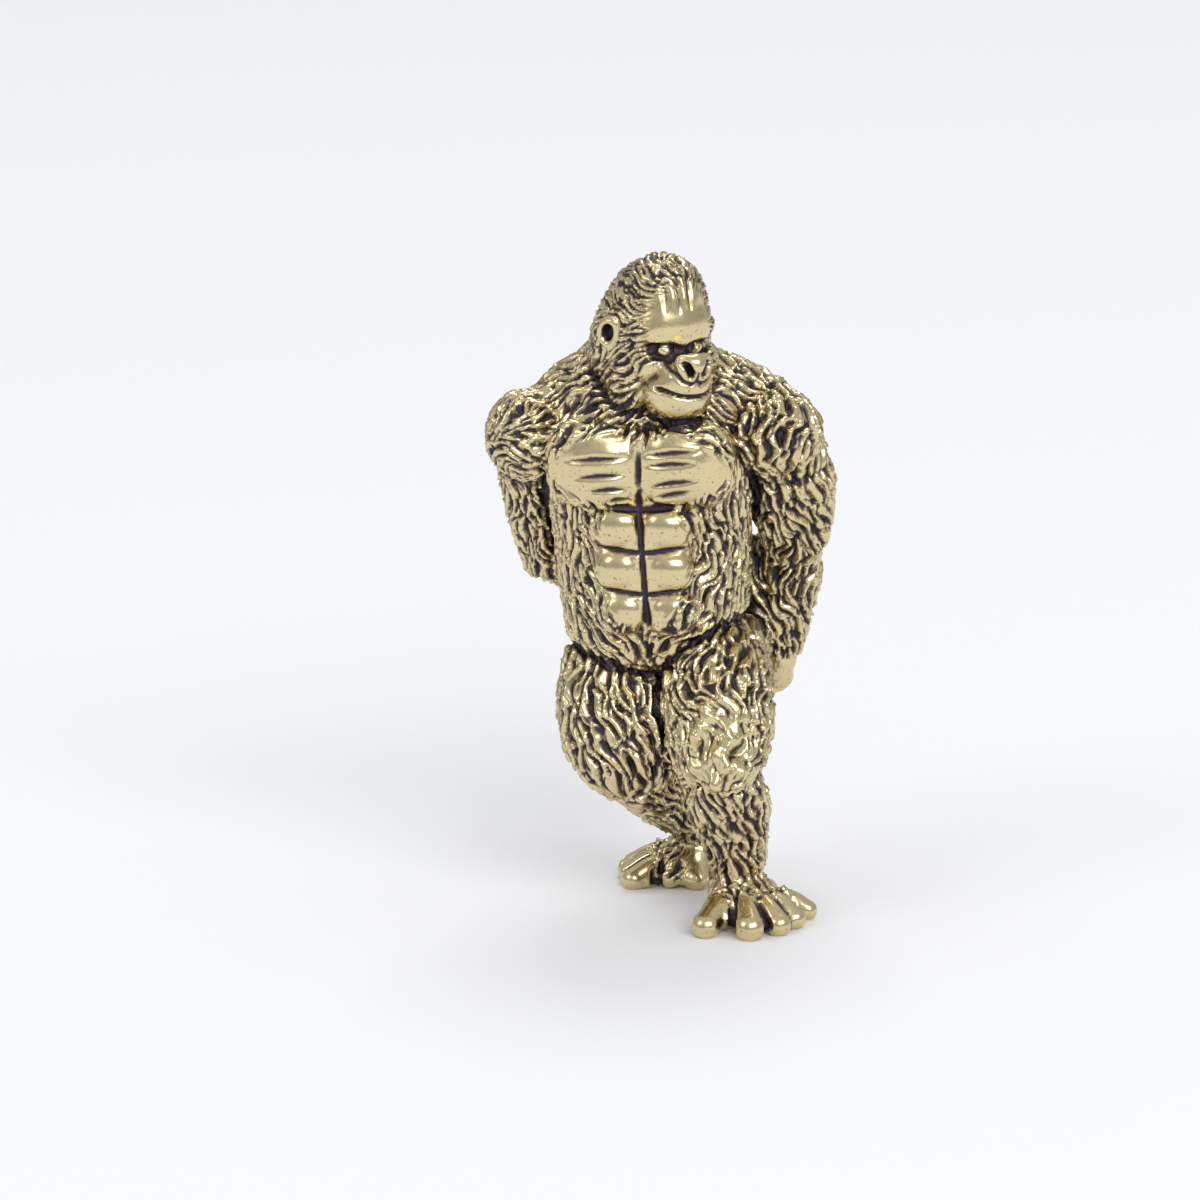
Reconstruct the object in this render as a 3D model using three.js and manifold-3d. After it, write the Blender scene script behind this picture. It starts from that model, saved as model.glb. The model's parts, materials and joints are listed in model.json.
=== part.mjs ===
// Gorilla figurine in antiqued brass, strolling upright with its hands behind its back.
// It is cast in sections that are located on dowel pins and brazed along their seams.
// Millimetres, +Z up. The figure faces -Y, and its own left side is +X.
// The origin lies on the ground, under the middle of the figure's box.
import * as THREE from "three";
import { mergeVertices } from "three/addons/utils/BufferGeometryUtils.js";
import Module from "manifold-3d";

const wasm = await Module();
wasm.setup();

// Places are given to the figure's left, forwards and up
const point = (left, forward, up) => new THREE.Vector3(left, -forward, up);
const offset = (from, left, forward, up) => from.clone().add(point(left, forward, up));
const between = (from, to, share) => from.clone().lerp(to, share);
const ahead = point(0, 1, 0);
const upwards = point(0, 0, 1);

// Legs: hips over the middle of the stride, the left foot leading and the right foot trailing
const hipHeight = 22.8;
const hipBack = 2.6;
const leftHipOut = 5;
const leftHipForward = 0.4;
const leftHipLift = 1.2;
const rightHipOut = 3.7;
const leftKneeHeight = 14.2;
const leftKneeOut = 6;
const leftKneeForward = 7.2;
const rightKneeHeight = 12.2;
const rightKneeOut = 1.7;
const rightKneeForward = 2;
const ankleHeight = 4.6;
const leftAnkleOut = 7.4;
const leftAnkleForward = 4.2;
const rightAnkleAcross = 4.7;
const rightAnkleBack = 7.2;

const pelvis = point(0, -hipBack, hipHeight);
const leftHip = offset(pelvis, leftHipOut, leftHipForward, leftHipLift);
const rightHip = offset(pelvis, -rightHipOut, 0, 0);
const leftKnee = point(leftKneeOut, leftKneeForward, leftKneeHeight);
const rightKnee = point(-rightKneeOut, rightKneeForward, rightKneeHeight);
const leftAnkle = point(leftAnkleOut, leftAnkleForward, ankleHeight);
const rightAnkle = point(rightAnkleAcross, -rightAnkleBack, ankleHeight);

// Trunk: the chest sways over the trailing leg and carries the shoulders and the head
const chestSway = 0.6;
const waistRise = 8;
const chestRise = 17;
const neckRise = 27;
const neckBack = 1.2;
const shoulderRise = 19.9;
const shoulderSpan = 21.4;
const shoulderSway = 0.4;
const headLift = 1.7;
const headForward = 2.8;
const headShift = 0.3;

const waist = offset(pelvis, 0, 0, waistRise);
const chest = offset(pelvis, -chestSway, 0, chestRise);
const neck = offset(pelvis, -chestSway, -neckBack, neckRise);
const leftShoulder = offset(pelvis, shoulderSpan / 2 - shoulderSway, 0, shoulderRise);
const rightShoulder = offset(pelvis, -shoulderSpan / 2 - shoulderSway, 0, shoulderRise);
const skull = offset(neck, headShift, headForward, headLift);

// Arms: both hang back from the shoulders, and the right forearm crosses the back
const leftElbowOut = 2.3;
const leftElbowBack = 3.6;
const leftElbowDrop = 11;
const leftWristIn = 0.8;
const leftWristBack = 3.6;
const leftWristDrop = 10.3;
const rightElbowIn = 1.9;
const rightElbowBack = 5;
const rightElbowDrop = 12.7;
const rightWristIn = 11.4;
const rightWristBack = 5.6;
const rightWristDrop = 5;

const leftElbow = offset(leftShoulder, leftElbowOut, -leftElbowBack, -leftElbowDrop);
const leftWrist = offset(leftElbow, -leftWristIn, -leftWristBack, -leftWristDrop);
const rightElbow = offset(rightShoulder, rightElbowIn, -rightElbowBack, -rightElbowDrop);
const rightWrist = offset(rightElbow, rightWristIn, -rightWristBack, -rightWristDrop);

// Seams between the castings, and the dowel pins that cross them
const seam = 0.3;
const dowelClearance = 0.1;
const trunkShare = 0.45;
const headShare = 1.2;
const upperShare = 0.25;
const armShare = 0.1;
const lowerShare = 0.4;
const endShare = 0.7;
const neckDowelRadius = 1.4;
const shoulderDowelRadius = 1.2;
const hipDowelRadius = 1.2;
const elbowDowelRadius = 0.9;
const kneeDowelRadius = 0.9;
const wristDowelRadius = 0.6;
const ankleDowelRadius = 0.7;

// Fineness of the faceted forms
const trunkSides = 20;
const limbSides = 14;
const digitSides = 8;
const ringsPerSpan = 2;
const domeSteps = 2;
const massSides = 12;
const massRings = 8;
const lumpSides = 8;
const lumpRings = 6;
const dowelSides = 12;

// Girths at shares of the way along a spine: a half width to each side and depths in front of
// and behind it, or one radius where the form is round
const torsoGirths = [
  { share: 0, side: 7.2, front: 5.8, back: 5.4 },
  { share: 0.1, side: 7.8, front: 6.9, back: 6.6 },
  { share: 0.23, side: 8.3, front: 7.4, back: 7 },
  { share: 0.4, side: 8.6, front: 7.4, back: 7.6 },
  { share: 0.57, side: 9.1, front: 7.2, back: 8.4 },
  { share: 0.72, side: 9.7, front: 6.8, back: 8.4 },
  { share: 0.86, side: 8.6, front: 5.8, back: 7.6 },
  { share: 1, side: 5.8, front: 3.2, back: 5 },
];
const torsoHem = 2;
const torsoTop = 2.2;

const chestTurn = 7;
const breast = { wide: 4.1, deep: 2.3, high: 3.7, square: 0.72 };
const breastSpread = 4.15;
const breastForward = 6;
const breastRise = 1.2;
const belly = { wide: 2.15, deep: 1.5, high: 1.8, square: 0.66 };
const bellyRows = 3;
const bellySpread = 2.2;
const bellyForward = 6.7;
const bellyDrop = 4.2;
const bellyPitch = 3.7;
const bellySway = 0.3;
const trapeziusRadius = 2.9;
const trapeziusShares = [0.15, 0.5, 0.85];
const buttock = { wide: 3.9, deep: 3.4, high: 4.2 };
const buttockSpread = 3.4;
const buttockBack = 4.2;
const buttockRise = 1;

const headYaw = 27;
const headPitch = 6;
const skullGirths = [
  { share: 0, side: 4.7, front: 3.2, back: 4.8 },
  { share: 0.22, side: 5.3, front: 4, back: 5.4 },
  { share: 0.5, side: 5.1, front: 4.6, back: 5.5 },
  { share: 0.72, side: 4.5, front: 4.4, back: 5 },
  { share: 0.9, side: 3.8, front: 3.5, back: 4 },
  { share: 1, side: 3, front: 2.6, back: 3.2 },
];
const skullDrop = 6.5;
const skullBase = 1;
const skullTop = 5.9;
const crownForward = 2.3;
const crownDome = 1.4;
const muzzle = { wide: 2.85, deep: 3.2, high: 3.2, square: 0.88 };
const muzzleForward = 5.4;
const muzzleDrop = 2.9;
const browHalfWidth = 3;
const browForward = 5;
const browRise = 2.1;
const browSweep = 1.6;
const browDroop = 0.4;
const browRadius = 1.2;
const eye = { wide: 0.75, deep: 0.75, high: 0.75 };
const eyeSpread = 1.65;
const eyeForward = 5;
const eyeRise = 0.35;
const nose = { wide: 1.75, deep: 1.2, high: 1.35, square: 0.9 };
const noseForward = 7.9;
const noseDrop = 0.6;
const nostril = { wide: 0.42, deep: 0.9, high: 0.8 };
const nostrilSpread = 0.72;
const nostrilForward = 8.8;
const mouthHalfWidth = 2.5;
const mouthDrop = 3.3;
const mouthLift = 0.3;
const mouthSweep = 1.5;
const mouthRadius = 0.4;
const cheek = { wide: 2.1, deep: 2.5, high: 3.1 };
const cheekSpread = 3.2;
const cheekForward = 2.2;
const cheekDrop = 3;
const ear = { wide: 0.8, deep: 1.3, high: 1.9 };
const earSpread = 4.8;
const earRise = 0.8;
const earHollow = { wide: 0.6, deep: 0.6, high: 1.1 };
const earHollowForward = 0.4;

const leftUpperArmGirths = [
  { share: 0, side: 3.5, front: 3.6, back: 3.6 },
  { share: 0.45, side: 3.8, front: 3.4, back: 3.7 },
  { share: 1, radius: 2.8 },
];
const rightUpperArmGirths = [
  { share: 0, side: 3.2, front: 3.6, back: 3.6 },
  { share: 0.45, side: 2.9, front: 3.1, back: 3.4 },
  { share: 1, radius: 2.6 },
];
const leftDeltoid = { wide: 4.3, deep: 4.6, high: 3.8 };
const rightDeltoid = { wide: 3.8, deep: 4.6, high: 3.8 };
const deltoidForward = 0.8;
const shoulderDome = 3;
const leftForearmGirths = [
  { share: 0, radius: 2.2 },
  { share: 0.35, radius: 2.6 },
  { share: 1, radius: 1.7 },
];
const rightForearmGirths = [
  { share: 0, radius: 2.1 },
  { share: 0.35, radius: 2.5 },
  { share: 1, radius: 1.7 },
];
const elbowDome = 1.8;
const wristDome = 1.1;
const leftUpperArmBow = 0.8;
const rightUpperArmBow = -0.4;
const leftForearmBow = 0.4;
const rightForearmBow = 1.6;

const leftThighGirths = [
  { share: 0, side: 4.3, front: 4.3, back: 4.5 },
  { share: 0.4, side: 4.9, front: 4.6, back: 4.6 },
  { share: 0.75, side: 4.5, front: 3.7, back: 3.9 },
  { share: 1, side: 3.3, front: 2.6, back: 2.8 },
];
const rightThighGirths = [
  { share: 0, side: 4.3, front: 4.4, back: 4.5 },
  { share: 0.45, side: 5.4, front: 4.6, back: 4.6 },
  { share: 0.75, side: 5.2, front: 4.2, back: 4.2 },
  { share: 1, side: 3.9, front: 3, back: 3.1 },
];
const leftShinGirths = [
  { share: 0, radius: 2.5 },
  { share: 0.35, side: 3.6, front: 2.9, back: 3.5 },
  { share: 0.7, side: 2.9, front: 2.5, back: 2.8 },
  { share: 1, radius: 2.3 },
];
const rightShinGirths = [
  { share: 0, radius: 2.5 },
  { share: 0.35, side: 2.6, front: 2.3, back: 2.8 },
  { share: 0.75, radius: 2.1 },
  { share: 1, radius: 1.9 },
];
const leftThighBow = 0.6;
const rightThighBow = 0.4;
const shinBow = 0.3;
const kneecap = { wide: 1.9, deep: 1.3, high: 2.2 };
const kneecapForward = 1.9;
const kneecapRise = 0.5;
const hipDome = 3.4;
const kneeDome = 1.7;
const ankleDome = 1;

// Feet: the great toe stands apart from the other four, as on a climbing foot
const leftFootHeading = 25;
const rightFootHeading = -72;
const footGirths = [
  { share: 0, side: 2, front: 2.2, back: 2 },
  { share: 0.45, side: 2.7, front: 1.9, back: 2 },
  { share: 1, side: 3.2, front: 1.5, back: 1 },
];
const heelBack = 1.6;
const heelDome = 1.2;
const instepForward = 1;
const instepHeight = 2.6;
const heelHeight = 1.5;
const ballForward = 4.2;
const ballDome = 1.2;
const ballHeight = 0.6;
const toeRootHeight = 1.9;
const knuckleShare = 0.55;
const toeArch = 0.45;
const toeSink = 0.55;
const leftToes = [
  { side: -5.2, reach: 5.4, radius: 1.3, rootSide: -1.8, rootReach: 1.6 },
  { side: -2, reach: 7.7, radius: 1.3, rootSide: -1.2, rootReach: 3.2 },
  { side: 0.9, reach: 7.4, radius: 1.15, rootSide: 0.3, rootReach: 3.3 },
  { side: 3, reach: 6.2, radius: 1.05, rootSide: 1.6, rootReach: 3 },
  { side: 5.2, reach: 4.2, radius: 0.95, rootSide: 2.3, rootReach: 2.2 },
];
const rightToes = [
  { side: -2.9, reach: 3, radius: 1.15, rootSide: -1, rootReach: 1 },
  { side: -1, reach: 7.3, radius: 1.15, rootSide: -0.6, rootReach: 3.2 },
  { side: 0.9, reach: 7.9, radius: 1.05, rootSide: 0.6, rootReach: 3.3 },
  { side: 2.5, reach: 7.5, radius: 1, rootSide: 1.7, rootReach: 3 },
  { side: 4, reach: 6.5, radius: 0.95, rootSide: 2.3, rootReach: 2.4 },
];

// Hands: half closed, reaching towards each other behind the back
const leftReach = point(-0.9, -2.2, -2.6).normalize();
const leftKnuckles = point(1, -0.2, 0);
const rightReach = point(4, -0.2, -2.6).normalize();
const rightKnuckles = point(0, -1, 0);
const palm = { wide: 2.2, deep: 1.6, high: 2.2, square: 0.8 };
const palmReach = 1.7;
const fingers = 4;
const fingerPitch = 1.1;
const fingerRadius = 0.7;
const fingerRoot = 2.6;
const fingerLength = 1.5;
const fingerCurl = 2.4;
const fingerRise = 0.4;
const thumbRadius = 0.7;
const thumbRoot = 1.3;
const thumbLength = 2.4;
const thumbCurl = 1;

// Closed solids from three.js geometry, and back again
function solid(geometry) {
  geometry.deleteAttribute("normal");
  geometry.deleteAttribute("uv");
  const welded = mergeVertices(geometry);
  return new wasm.Manifold(
    new wasm.Mesh({
      numProp: 3,
      vertProperties: new Float32Array(welded.attributes.position.array),
      triVerts: new Uint32Array(welded.index.array),
    }),
  );
}

function geometryOf(body) {
  const mesh = body.getMesh();
  const geometry = new THREE.BufferGeometry();
  geometry.setAttribute("position", new THREE.BufferAttribute(mesh.vertProperties, mesh.numProp));
  geometry.setIndex(new THREE.BufferAttribute(mesh.triVerts, 1));
  geometry.computeVertexNormals();
  return geometry;
}

const join = (solids) => solids.reduce((whole, next) => whole.add(next));
const cut = (body, tools) => tools.reduce((rest, tool) => rest.subtract(tool), body);

// A form of oval rings along a smooth spine, closed by a dome at each end.
// Like every form here it can be grown outwards, to cut the piece that seats against it.
function loft({ spine, girths, facing, domes, sides = limbSides }, grow) {
  const curve = new THREE.CatmullRomCurve3(spine, false, "centripetal");
  const sizes = new THREE.CubicInterpolant(
    girths.map((girth) => girth.share),
    girths.flatMap(({ radius, side = radius, front = radius, back = radius }) => [side, front, back]),
    3,
  );
  const steps = (girths.length - 1) * ringsPerSpan;
  const positions = [];
  for (let i = -domeSteps; i <= steps + domeSteps; i++) {
    const t = THREE.MathUtils.clamp(i / steps, 0, 1);
    const rise = ((i - t * steps) / domeSteps) * (Math.PI / 2);
    const swell = Math.abs(i - t * steps) < domeSteps ? Math.cos(rise) : 0;
    const along = curve.getTangentAt(t);
    const front = facing.clone().projectOnPlane(along).normalize();
    const side = front.clone().cross(along);
    const dome = (rise < 0 ? domes[0] : domes[1]) + grow;
    const centre = curve.getPointAt(t).addScaledVector(along, dome * Math.sin(rise));
    const [halfWidth, frontDepth, backDepth] = sizes.evaluate(t);
    for (let k = 0; k < sides; k++) {
      const angle = (2 * Math.PI * k) / sides;
      const depth = Math.sin(angle) > 0 ? frontDepth : backDepth;
      const spot = centre
        .clone()
        .addScaledVector(side, Math.cos(angle) * (halfWidth + grow) * swell)
        .addScaledVector(front, Math.sin(angle) * (depth + grow) * swell);
      positions.push(spot.x, spot.y, spot.z);
    }
  }

  const rings = positions.length / 3 / sides;
  const faces = [];
  for (let ring = 0; ring + 1 < rings; ring++) {
    for (let k = 0; k < sides; k++) {
      const next = (k + 1) % sides;
      const low = ring * sides;
      const high = low + sides;
      if (ring > 0) {
        faces.push(low + k, low + next, high + next);
      }
      if (ring + 2 < rings) {
        faces.push(low + k, high + next, high + k);
      }
    }
  }
  const geometry = new THREE.BufferGeometry();
  geometry.setAttribute("position", new THREE.Float32BufferAttribute(positions, 3));
  geometry.setIndex(faces);
  return solid(geometry);
}

// A rounded mass: a ball with its own half sizes, squared off where square is below 1
function mass(centre, size, grow, turn = new THREE.Matrix4(), sides = massSides, rings = massRings) {
  const geometry = new THREE.SphereGeometry(1, sides, rings);
  const spots = geometry.attributes.position;
  const { wide, deep, high, square = 1 } = size;
  const squared = (value, half) => Math.sign(value) * Math.abs(value) ** square * (half + grow);
  for (let i = 0; i < spots.count; i++) {
    const x = squared(spots.getX(i), wide);
    const y = squared(spots.getY(i), deep);
    const z = squared(spots.getZ(i), high);
    spots.setXYZ(i, x, y, z);
  }
  geometry.applyMatrix4(turn);
  geometry.translate(centre.x, centre.y, centre.z);
  return solid(geometry);
}

const lump = (centre, size, grow, turn) => mass(centre, size, grow, turn, lumpSides, lumpRings);

// A bent roll of even thickness with round ends: fingers, toes, trapezius, brow and mouth
function digit(spine, radius, grow, facing = upwards) {
  const girths = spine.slice(1).map((_, i) => ({ share: i / (spine.length - 2), radius }));
  return loft({ spine, girths, facing, domes: [radius, radius], sides: digitSides }, grow);
}

// A straight pin, made wider and longer by the spare when it drills its own socket
function rod({ from, to, radius }, spare) {
  const along = to.clone().sub(from);
  const length = along.length() + 2 * spare;
  const geometry = new THREE.CylinderGeometry(radius + spare, radius + spare, length, dowelSides);
  geometry.applyQuaternion(new THREE.Quaternion().setFromUnitVectors(point(0, -1, 0), along.normalize()));
  const middle = between(from, to, 0.5);
  return solid(geometry.translate(middle.x, middle.y, middle.z));
}

// Trunk: a barrel with breast and belly muscles, buttocks and a trapezius down to each shoulder
const trunkTurn = new THREE.Matrix4().makeRotationZ(THREE.MathUtils.degToRad(-chestTurn));
const onChest = (left, forward, up) => point(left, forward, up).applyMatrix4(trunkTurn).add(chest);

function torso(grow) {
  const spine = [pelvis, waist, chest, neck];
  const domes = [torsoHem, torsoTop];
  const parts = [loft({ spine, girths: torsoGirths, facing: ahead, domes, sides: trunkSides }, grow)];
  for (const side of [-1, 1]) {
    parts.push(mass(onChest(side * breastSpread, breastForward, breastRise), breast, grow, trunkTurn));
    for (let row = 0; row < bellyRows; row++) {
      const left = side * bellySpread + row * bellySway;
      const block = onChest(left, bellyForward, -bellyDrop - row * bellyPitch);
      parts.push(lump(block, belly, grow, trunkTurn));
    }
    const shoulder = side > 0 ? leftShoulder : rightShoulder;
    const trapezius = trapeziusShares.map((share) => between(neck, shoulder, share));
    parts.push(digit(trapezius, trapeziusRadius, grow, ahead));
    parts.push(mass(offset(pelvis, side * buttockSpread, -buttockBack, buttockRise), buttock, grow));
  }
  return join(parts);
}

// Head: modelled about the middle of the skull, then turned to the figure's left and nodded
const headTurn = new THREE.Matrix4()
  .makeRotationZ(THREE.MathUtils.degToRad(headYaw))
  .multiply(new THREE.Matrix4().makeRotationX(THREE.MathUtils.degToRad(headPitch)));
const faceAhead = ahead.clone().applyMatrix4(headTurn);
const onHead = (left, forward, up) => point(left, forward, up).applyMatrix4(headTurn).add(skull);

// A line across the face that sweeps back and up towards both its ends
const acrossFace = (halfWidth, forward, up, sweep, lift) =>
  [-1, -0.5, 0, 0.5, 1].map((t) => onHead(t * halfWidth, forward - t * t * sweep, up + t * t * lift));

function head(grow) {
  const spine = [onHead(0, -skullBase, -skullDrop), skull, onHead(0, crownForward, skullTop)];
  const domes = [skullBase, crownDome];
  const brow = acrossFace(browHalfWidth, browForward, browRise, browSweep, -browDroop);
  const parts = [
    loft({ spine, girths: skullGirths, facing: faceAhead, domes, sides: trunkSides }, grow),
    mass(onHead(0, muzzleForward, -muzzleDrop), muzzle, grow, headTurn),
    lump(onHead(0, noseForward, -noseDrop), nose, grow, headTurn),
    digit(brow, browRadius, grow, faceAhead),
  ];
  for (const side of [-1, 1]) {
    parts.push(mass(onHead(side * cheekSpread, cheekForward, -cheekDrop), cheek, grow, headTurn));
    parts.push(lump(onHead(side * eyeSpread, eyeForward, eyeRise), eye, grow, headTurn));
    parts.push(lump(onHead(side * earSpread, 0, earRise), ear, grow, headTurn));
  }
  return join(parts);
}

// The mouth, nostrils and ears are hollowed out of the head
function headHollows() {
  const lips = acrossFace(mouthHalfWidth, muzzleForward + muzzle.deep, -mouthDrop, mouthSweep, mouthLift);
  const hollows = [digit(lips, mouthRadius, 0, faceAhead)];
  for (const side of [-1, 1]) {
    hollows.push(lump(onHead(side * nostrilSpread, nostrilForward, -noseDrop), nostril, 0, headTurn));
    const earMouth = onHead(side * (earSpread + ear.wide), earHollowForward, earRise);
    hollows.push(lump(earMouth, earHollow, 0, headTurn));
  }
  return hollows;
}

// Limbs: each bows a little on its way from one joint to the next
function limb(from, to, girths, domes, bow) {
  const spine = [from, between(from, to, 0.5).add(bow), to];
  return (grow) => loft({ spine, girths, facing: ahead, domes }, grow);
}

function upperArm(shoulder, elbow, girths, deltoid, bow) {
  const arm = limb(shoulder, elbow, girths, [shoulderDome, elbowDome], point(bow, 0, 0));
  const cap = offset(shoulder, 0, deltoidForward, 0);
  return (grow) => join([arm(grow), mass(cap, deltoid, grow)]);
}

const thighDomes = [hipDome, kneeDome];

function leftThigh(grow) {
  const bow = point(0, leftThighBow, leftThighBow);
  const thigh = limb(leftHip, leftKnee, leftThighGirths, thighDomes, bow);
  const cap = lump(offset(leftKnee, 0, kneecapForward, kneecapRise), kneecap, grow);
  return join([thigh(grow), cap]);
}

const rightThigh = limb(rightHip, rightKnee, rightThighGirths, thighDomes, point(-rightThighBow, 0, 0));

const forearmDomes = [elbowDome, wristDome];
const forearm = (elbow, wrist, girths, bow) => limb(elbow, wrist, girths, forearmDomes, point(0, -bow, 0));

const shinDomes = [kneeDome, ankleDome];
const shin = (knee, ankle, girths) => limb(knee, ankle, girths, shinDomes, point(0, -shinBow, 0));

// Feet: modelled heading forwards from under the ankle, toes in order from the great toe
function foot(ankle, heading, toes) {
  const turn = new THREE.Matrix4().makeRotationZ(THREE.MathUtils.degToRad(heading));
  const under = new THREE.Vector3(ankle.x, ankle.y, 0);
  const outer = Math.sign(heading);
  const on = (side, reach, up) => point(outer * side, reach, up).applyMatrix4(turn).add(under);
  const heel = on(0, -heelBack, heelHeight);
  const instep = on(0, instepForward, instepHeight);
  const ball = on(0, ballForward, ballHeight);
  return (grow) => {
    const domes = [heelDome, ballDome];
    const spine = [heel, instep, ball];
    const parts = [loft({ spine, girths: footGirths, facing: upwards, domes }, grow)];
    for (const toe of toes) {
      const root = on(toe.rootSide, toe.rootReach, toeRootHeight);
      const tip = on(toe.side, toe.reach - toe.radius, toe.radius - toeSink);
      const knuckle = between(root, tip, knuckleShare).addScaledVector(upwards, toeArch);
      parts.push(digit([root, knuckle, tip], toe.radius, grow));
    }
    return join(parts);
  };
}

// Hands: modelled reaching from the wrist, with the fingers curling away from the knuckles
function hand(wrist, reach, knuckles) {
  const out = knuckles.clone().projectOnPlane(reach).normalize();
  const across = out.clone().cross(reach);
  const turn = new THREE.Matrix4().makeBasis(across, out, reach);
  const on = (side, rise, far) => new THREE.Vector3(side, rise, far).applyMatrix4(turn).add(wrist);
  return (grow) => {
    const parts = [mass(on(0, 0, palmReach), palm, grow, turn)];
    for (let i = 0; i < fingers; i++) {
      const side = (i - (fingers - 1) / 2) * fingerPitch;
      const root = on(side, fingerRise, fingerRoot);
      const knuckle = on(side, fingerRise, fingerRoot + fingerLength);
      const tip = on(side, fingerRise - fingerCurl, fingerRoot + fingerLength);
      parts.push(digit([root, knuckle, tip], fingerRadius, grow, across));
    }
    const thumb = [0, 0.5, 1].map((t) => {
      const side = palm.wide - thumbRadius * (1 - t);
      return on(side, -t * thumbCurl, thumbRoot + t * thumbLength);
    });
    parts.push(digit(thumb, thumbRadius, grow, out));
    return join(parts);
  };
}

// Castings, in the order in which each is seated against those before it
const forms = {
  torso,
  head,
  left_upper_arm: upperArm(leftShoulder, leftElbow, leftUpperArmGirths, leftDeltoid, leftUpperArmBow),
  right_upper_arm: upperArm(rightShoulder, rightElbow, rightUpperArmGirths, rightDeltoid, rightUpperArmBow),
  left_thigh: leftThigh,
  right_thigh: rightThigh,
  left_forearm: forearm(leftElbow, leftWrist, leftForearmGirths, leftForearmBow),
  right_forearm: forearm(rightElbow, rightWrist, rightForearmGirths, rightForearmBow),
  left_shin: shin(leftKnee, leftAnkle, leftShinGirths),
  right_shin: shin(rightKnee, rightAnkle, rightShinGirths),
  left_hand: hand(leftWrist, leftReach, leftKnuckles),
  right_hand: hand(rightWrist, rightReach, rightKnuckles),
  left_foot: foot(leftAnkle, leftFootHeading, leftToes),
  right_foot: foot(rightAnkle, rightFootHeading, rightToes),
};

// Dowel pins: each runs from inside one casting to inside the next, and both of its ends are
// given as shares of the way from the joint to another landmark
const pin = (joint, inner, outer, radius) => ({
  from: between(joint, ...inner),
  to: between(joint, ...outer),
  radius,
});
const palmOf = (wrist, reach) => wrist.clone().addScaledVector(reach, fingerRoot);
const leftPalm = palmOf(leftWrist, leftReach);
const rightPalm = palmOf(rightWrist, rightReach);
const soleUnder = (ankle) => new THREE.Vector3(ankle.x, ankle.y, 0);
const leftSole = soleUnder(leftAnkle);
const rightSole = soleUnder(rightAnkle);
const dowels = {
  neck_dowel: pin(neck, [chest, trunkShare], [skull, headShare], neckDowelRadius),
  left_shoulder_dowel: pin(leftShoulder, [chest, trunkShare], [leftElbow, 0], shoulderDowelRadius),
  right_shoulder_dowel: pin(rightShoulder, [chest, trunkShare], [rightElbow, 0], shoulderDowelRadius),
  left_elbow_dowel: pin(leftElbow, [leftShoulder, armShare], [leftWrist, lowerShare], elbowDowelRadius),
  right_elbow_dowel: pin(rightElbow, [rightShoulder, armShare], [rightWrist, lowerShare], elbowDowelRadius),
  left_wrist_dowel: pin(leftWrist, [leftElbow, upperShare], [leftPalm, endShare], wristDowelRadius),
  right_wrist_dowel: pin(rightWrist, [rightElbow, upperShare], [rightPalm, endShare], wristDowelRadius),
  left_hip_dowel: pin(leftHip, [waist, trunkShare], [leftKnee, lowerShare], hipDowelRadius),
  right_hip_dowel: pin(rightHip, [waist, trunkShare], [rightKnee, lowerShare], hipDowelRadius),
  left_knee_dowel: pin(leftKnee, [leftHip, upperShare], [leftAnkle, lowerShare], kneeDowelRadius),
  right_knee_dowel: pin(rightKnee, [rightHip, upperShare], [rightAnkle, lowerShare], kneeDowelRadius),
  left_ankle_dowel: pin(leftAnkle, [leftKnee, upperShare], [leftSole, endShare], ankleDowelRadius),
  right_ankle_dowel: pin(rightAnkle, [rightKnee, upperShare], [rightSole, endShare], ankleDowelRadius),
};
const sockets = Object.values(dowels).map((dowel) => rod(dowel, dowelClearance));

// The soles are ground flat
const groundSize = 200;
const slab = new THREE.BoxGeometry(groundSize, groundSize, groundSize);
const ground = solid(slab.translate(0, 0, -groundSize / 2));

const castBrass = new THREE.MeshStandardMaterial({ color: 0xb39a5b, metalness: 1, roughness: 0.35 });
const drawnBrass = new THREE.MeshStandardMaterial({ color: 0xcdb368, metalness: 1, roughness: 0.25 });
const sections = new THREE.Group();

function add(name, body, material) {
  const mesh = new THREE.Mesh(geometryOf(body), material);
  mesh.name = name;
  sections.add(mesh);
}

const seats = [ground, ...sockets];
for (const [name, form] of Object.entries(forms)) {
  const hollows = name === "head" ? headHollows() : [];
  add(name, cut(form(0), [...hollows, ...seats]), castBrass);
  seats.push(form(seam));
}
for (const [name, dowel] of Object.entries(dowels)) {
  add(name, rod(dowel, 0), drawnBrass);
}

const middle = new THREE.Box3().setFromObject(sections).getCenter(new THREE.Vector3());
sections.position.set(-middle.x, -middle.y, 0);
const figurine = new THREE.Group();
figurine.add(sections);

export default figurine;
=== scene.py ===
# %% [markdown]
# # A gorilla in antiqued brass
# The object is a pocket ornament of cast brass, darkened all over with a patina and then rubbed
# bright on the high spots. The CAD model gives its main forms: fourteen castings on hidden pins.
# This lesson takes copies of the castings as clay and fuses them into one skin. It presses on the
# face, the muscles, the toes and the fingers, carves the lines between them, raises combed fur as
# real relief, marks how far every point is rubbed bright and where shade is painted dark, and
# parts the skin into castings again.

# %% Open the CAD model
import json
import math
import bpy
import numpy as np
from mathutils import Matrix, Vector
from mathutils.kdtree import KDTree

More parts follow.
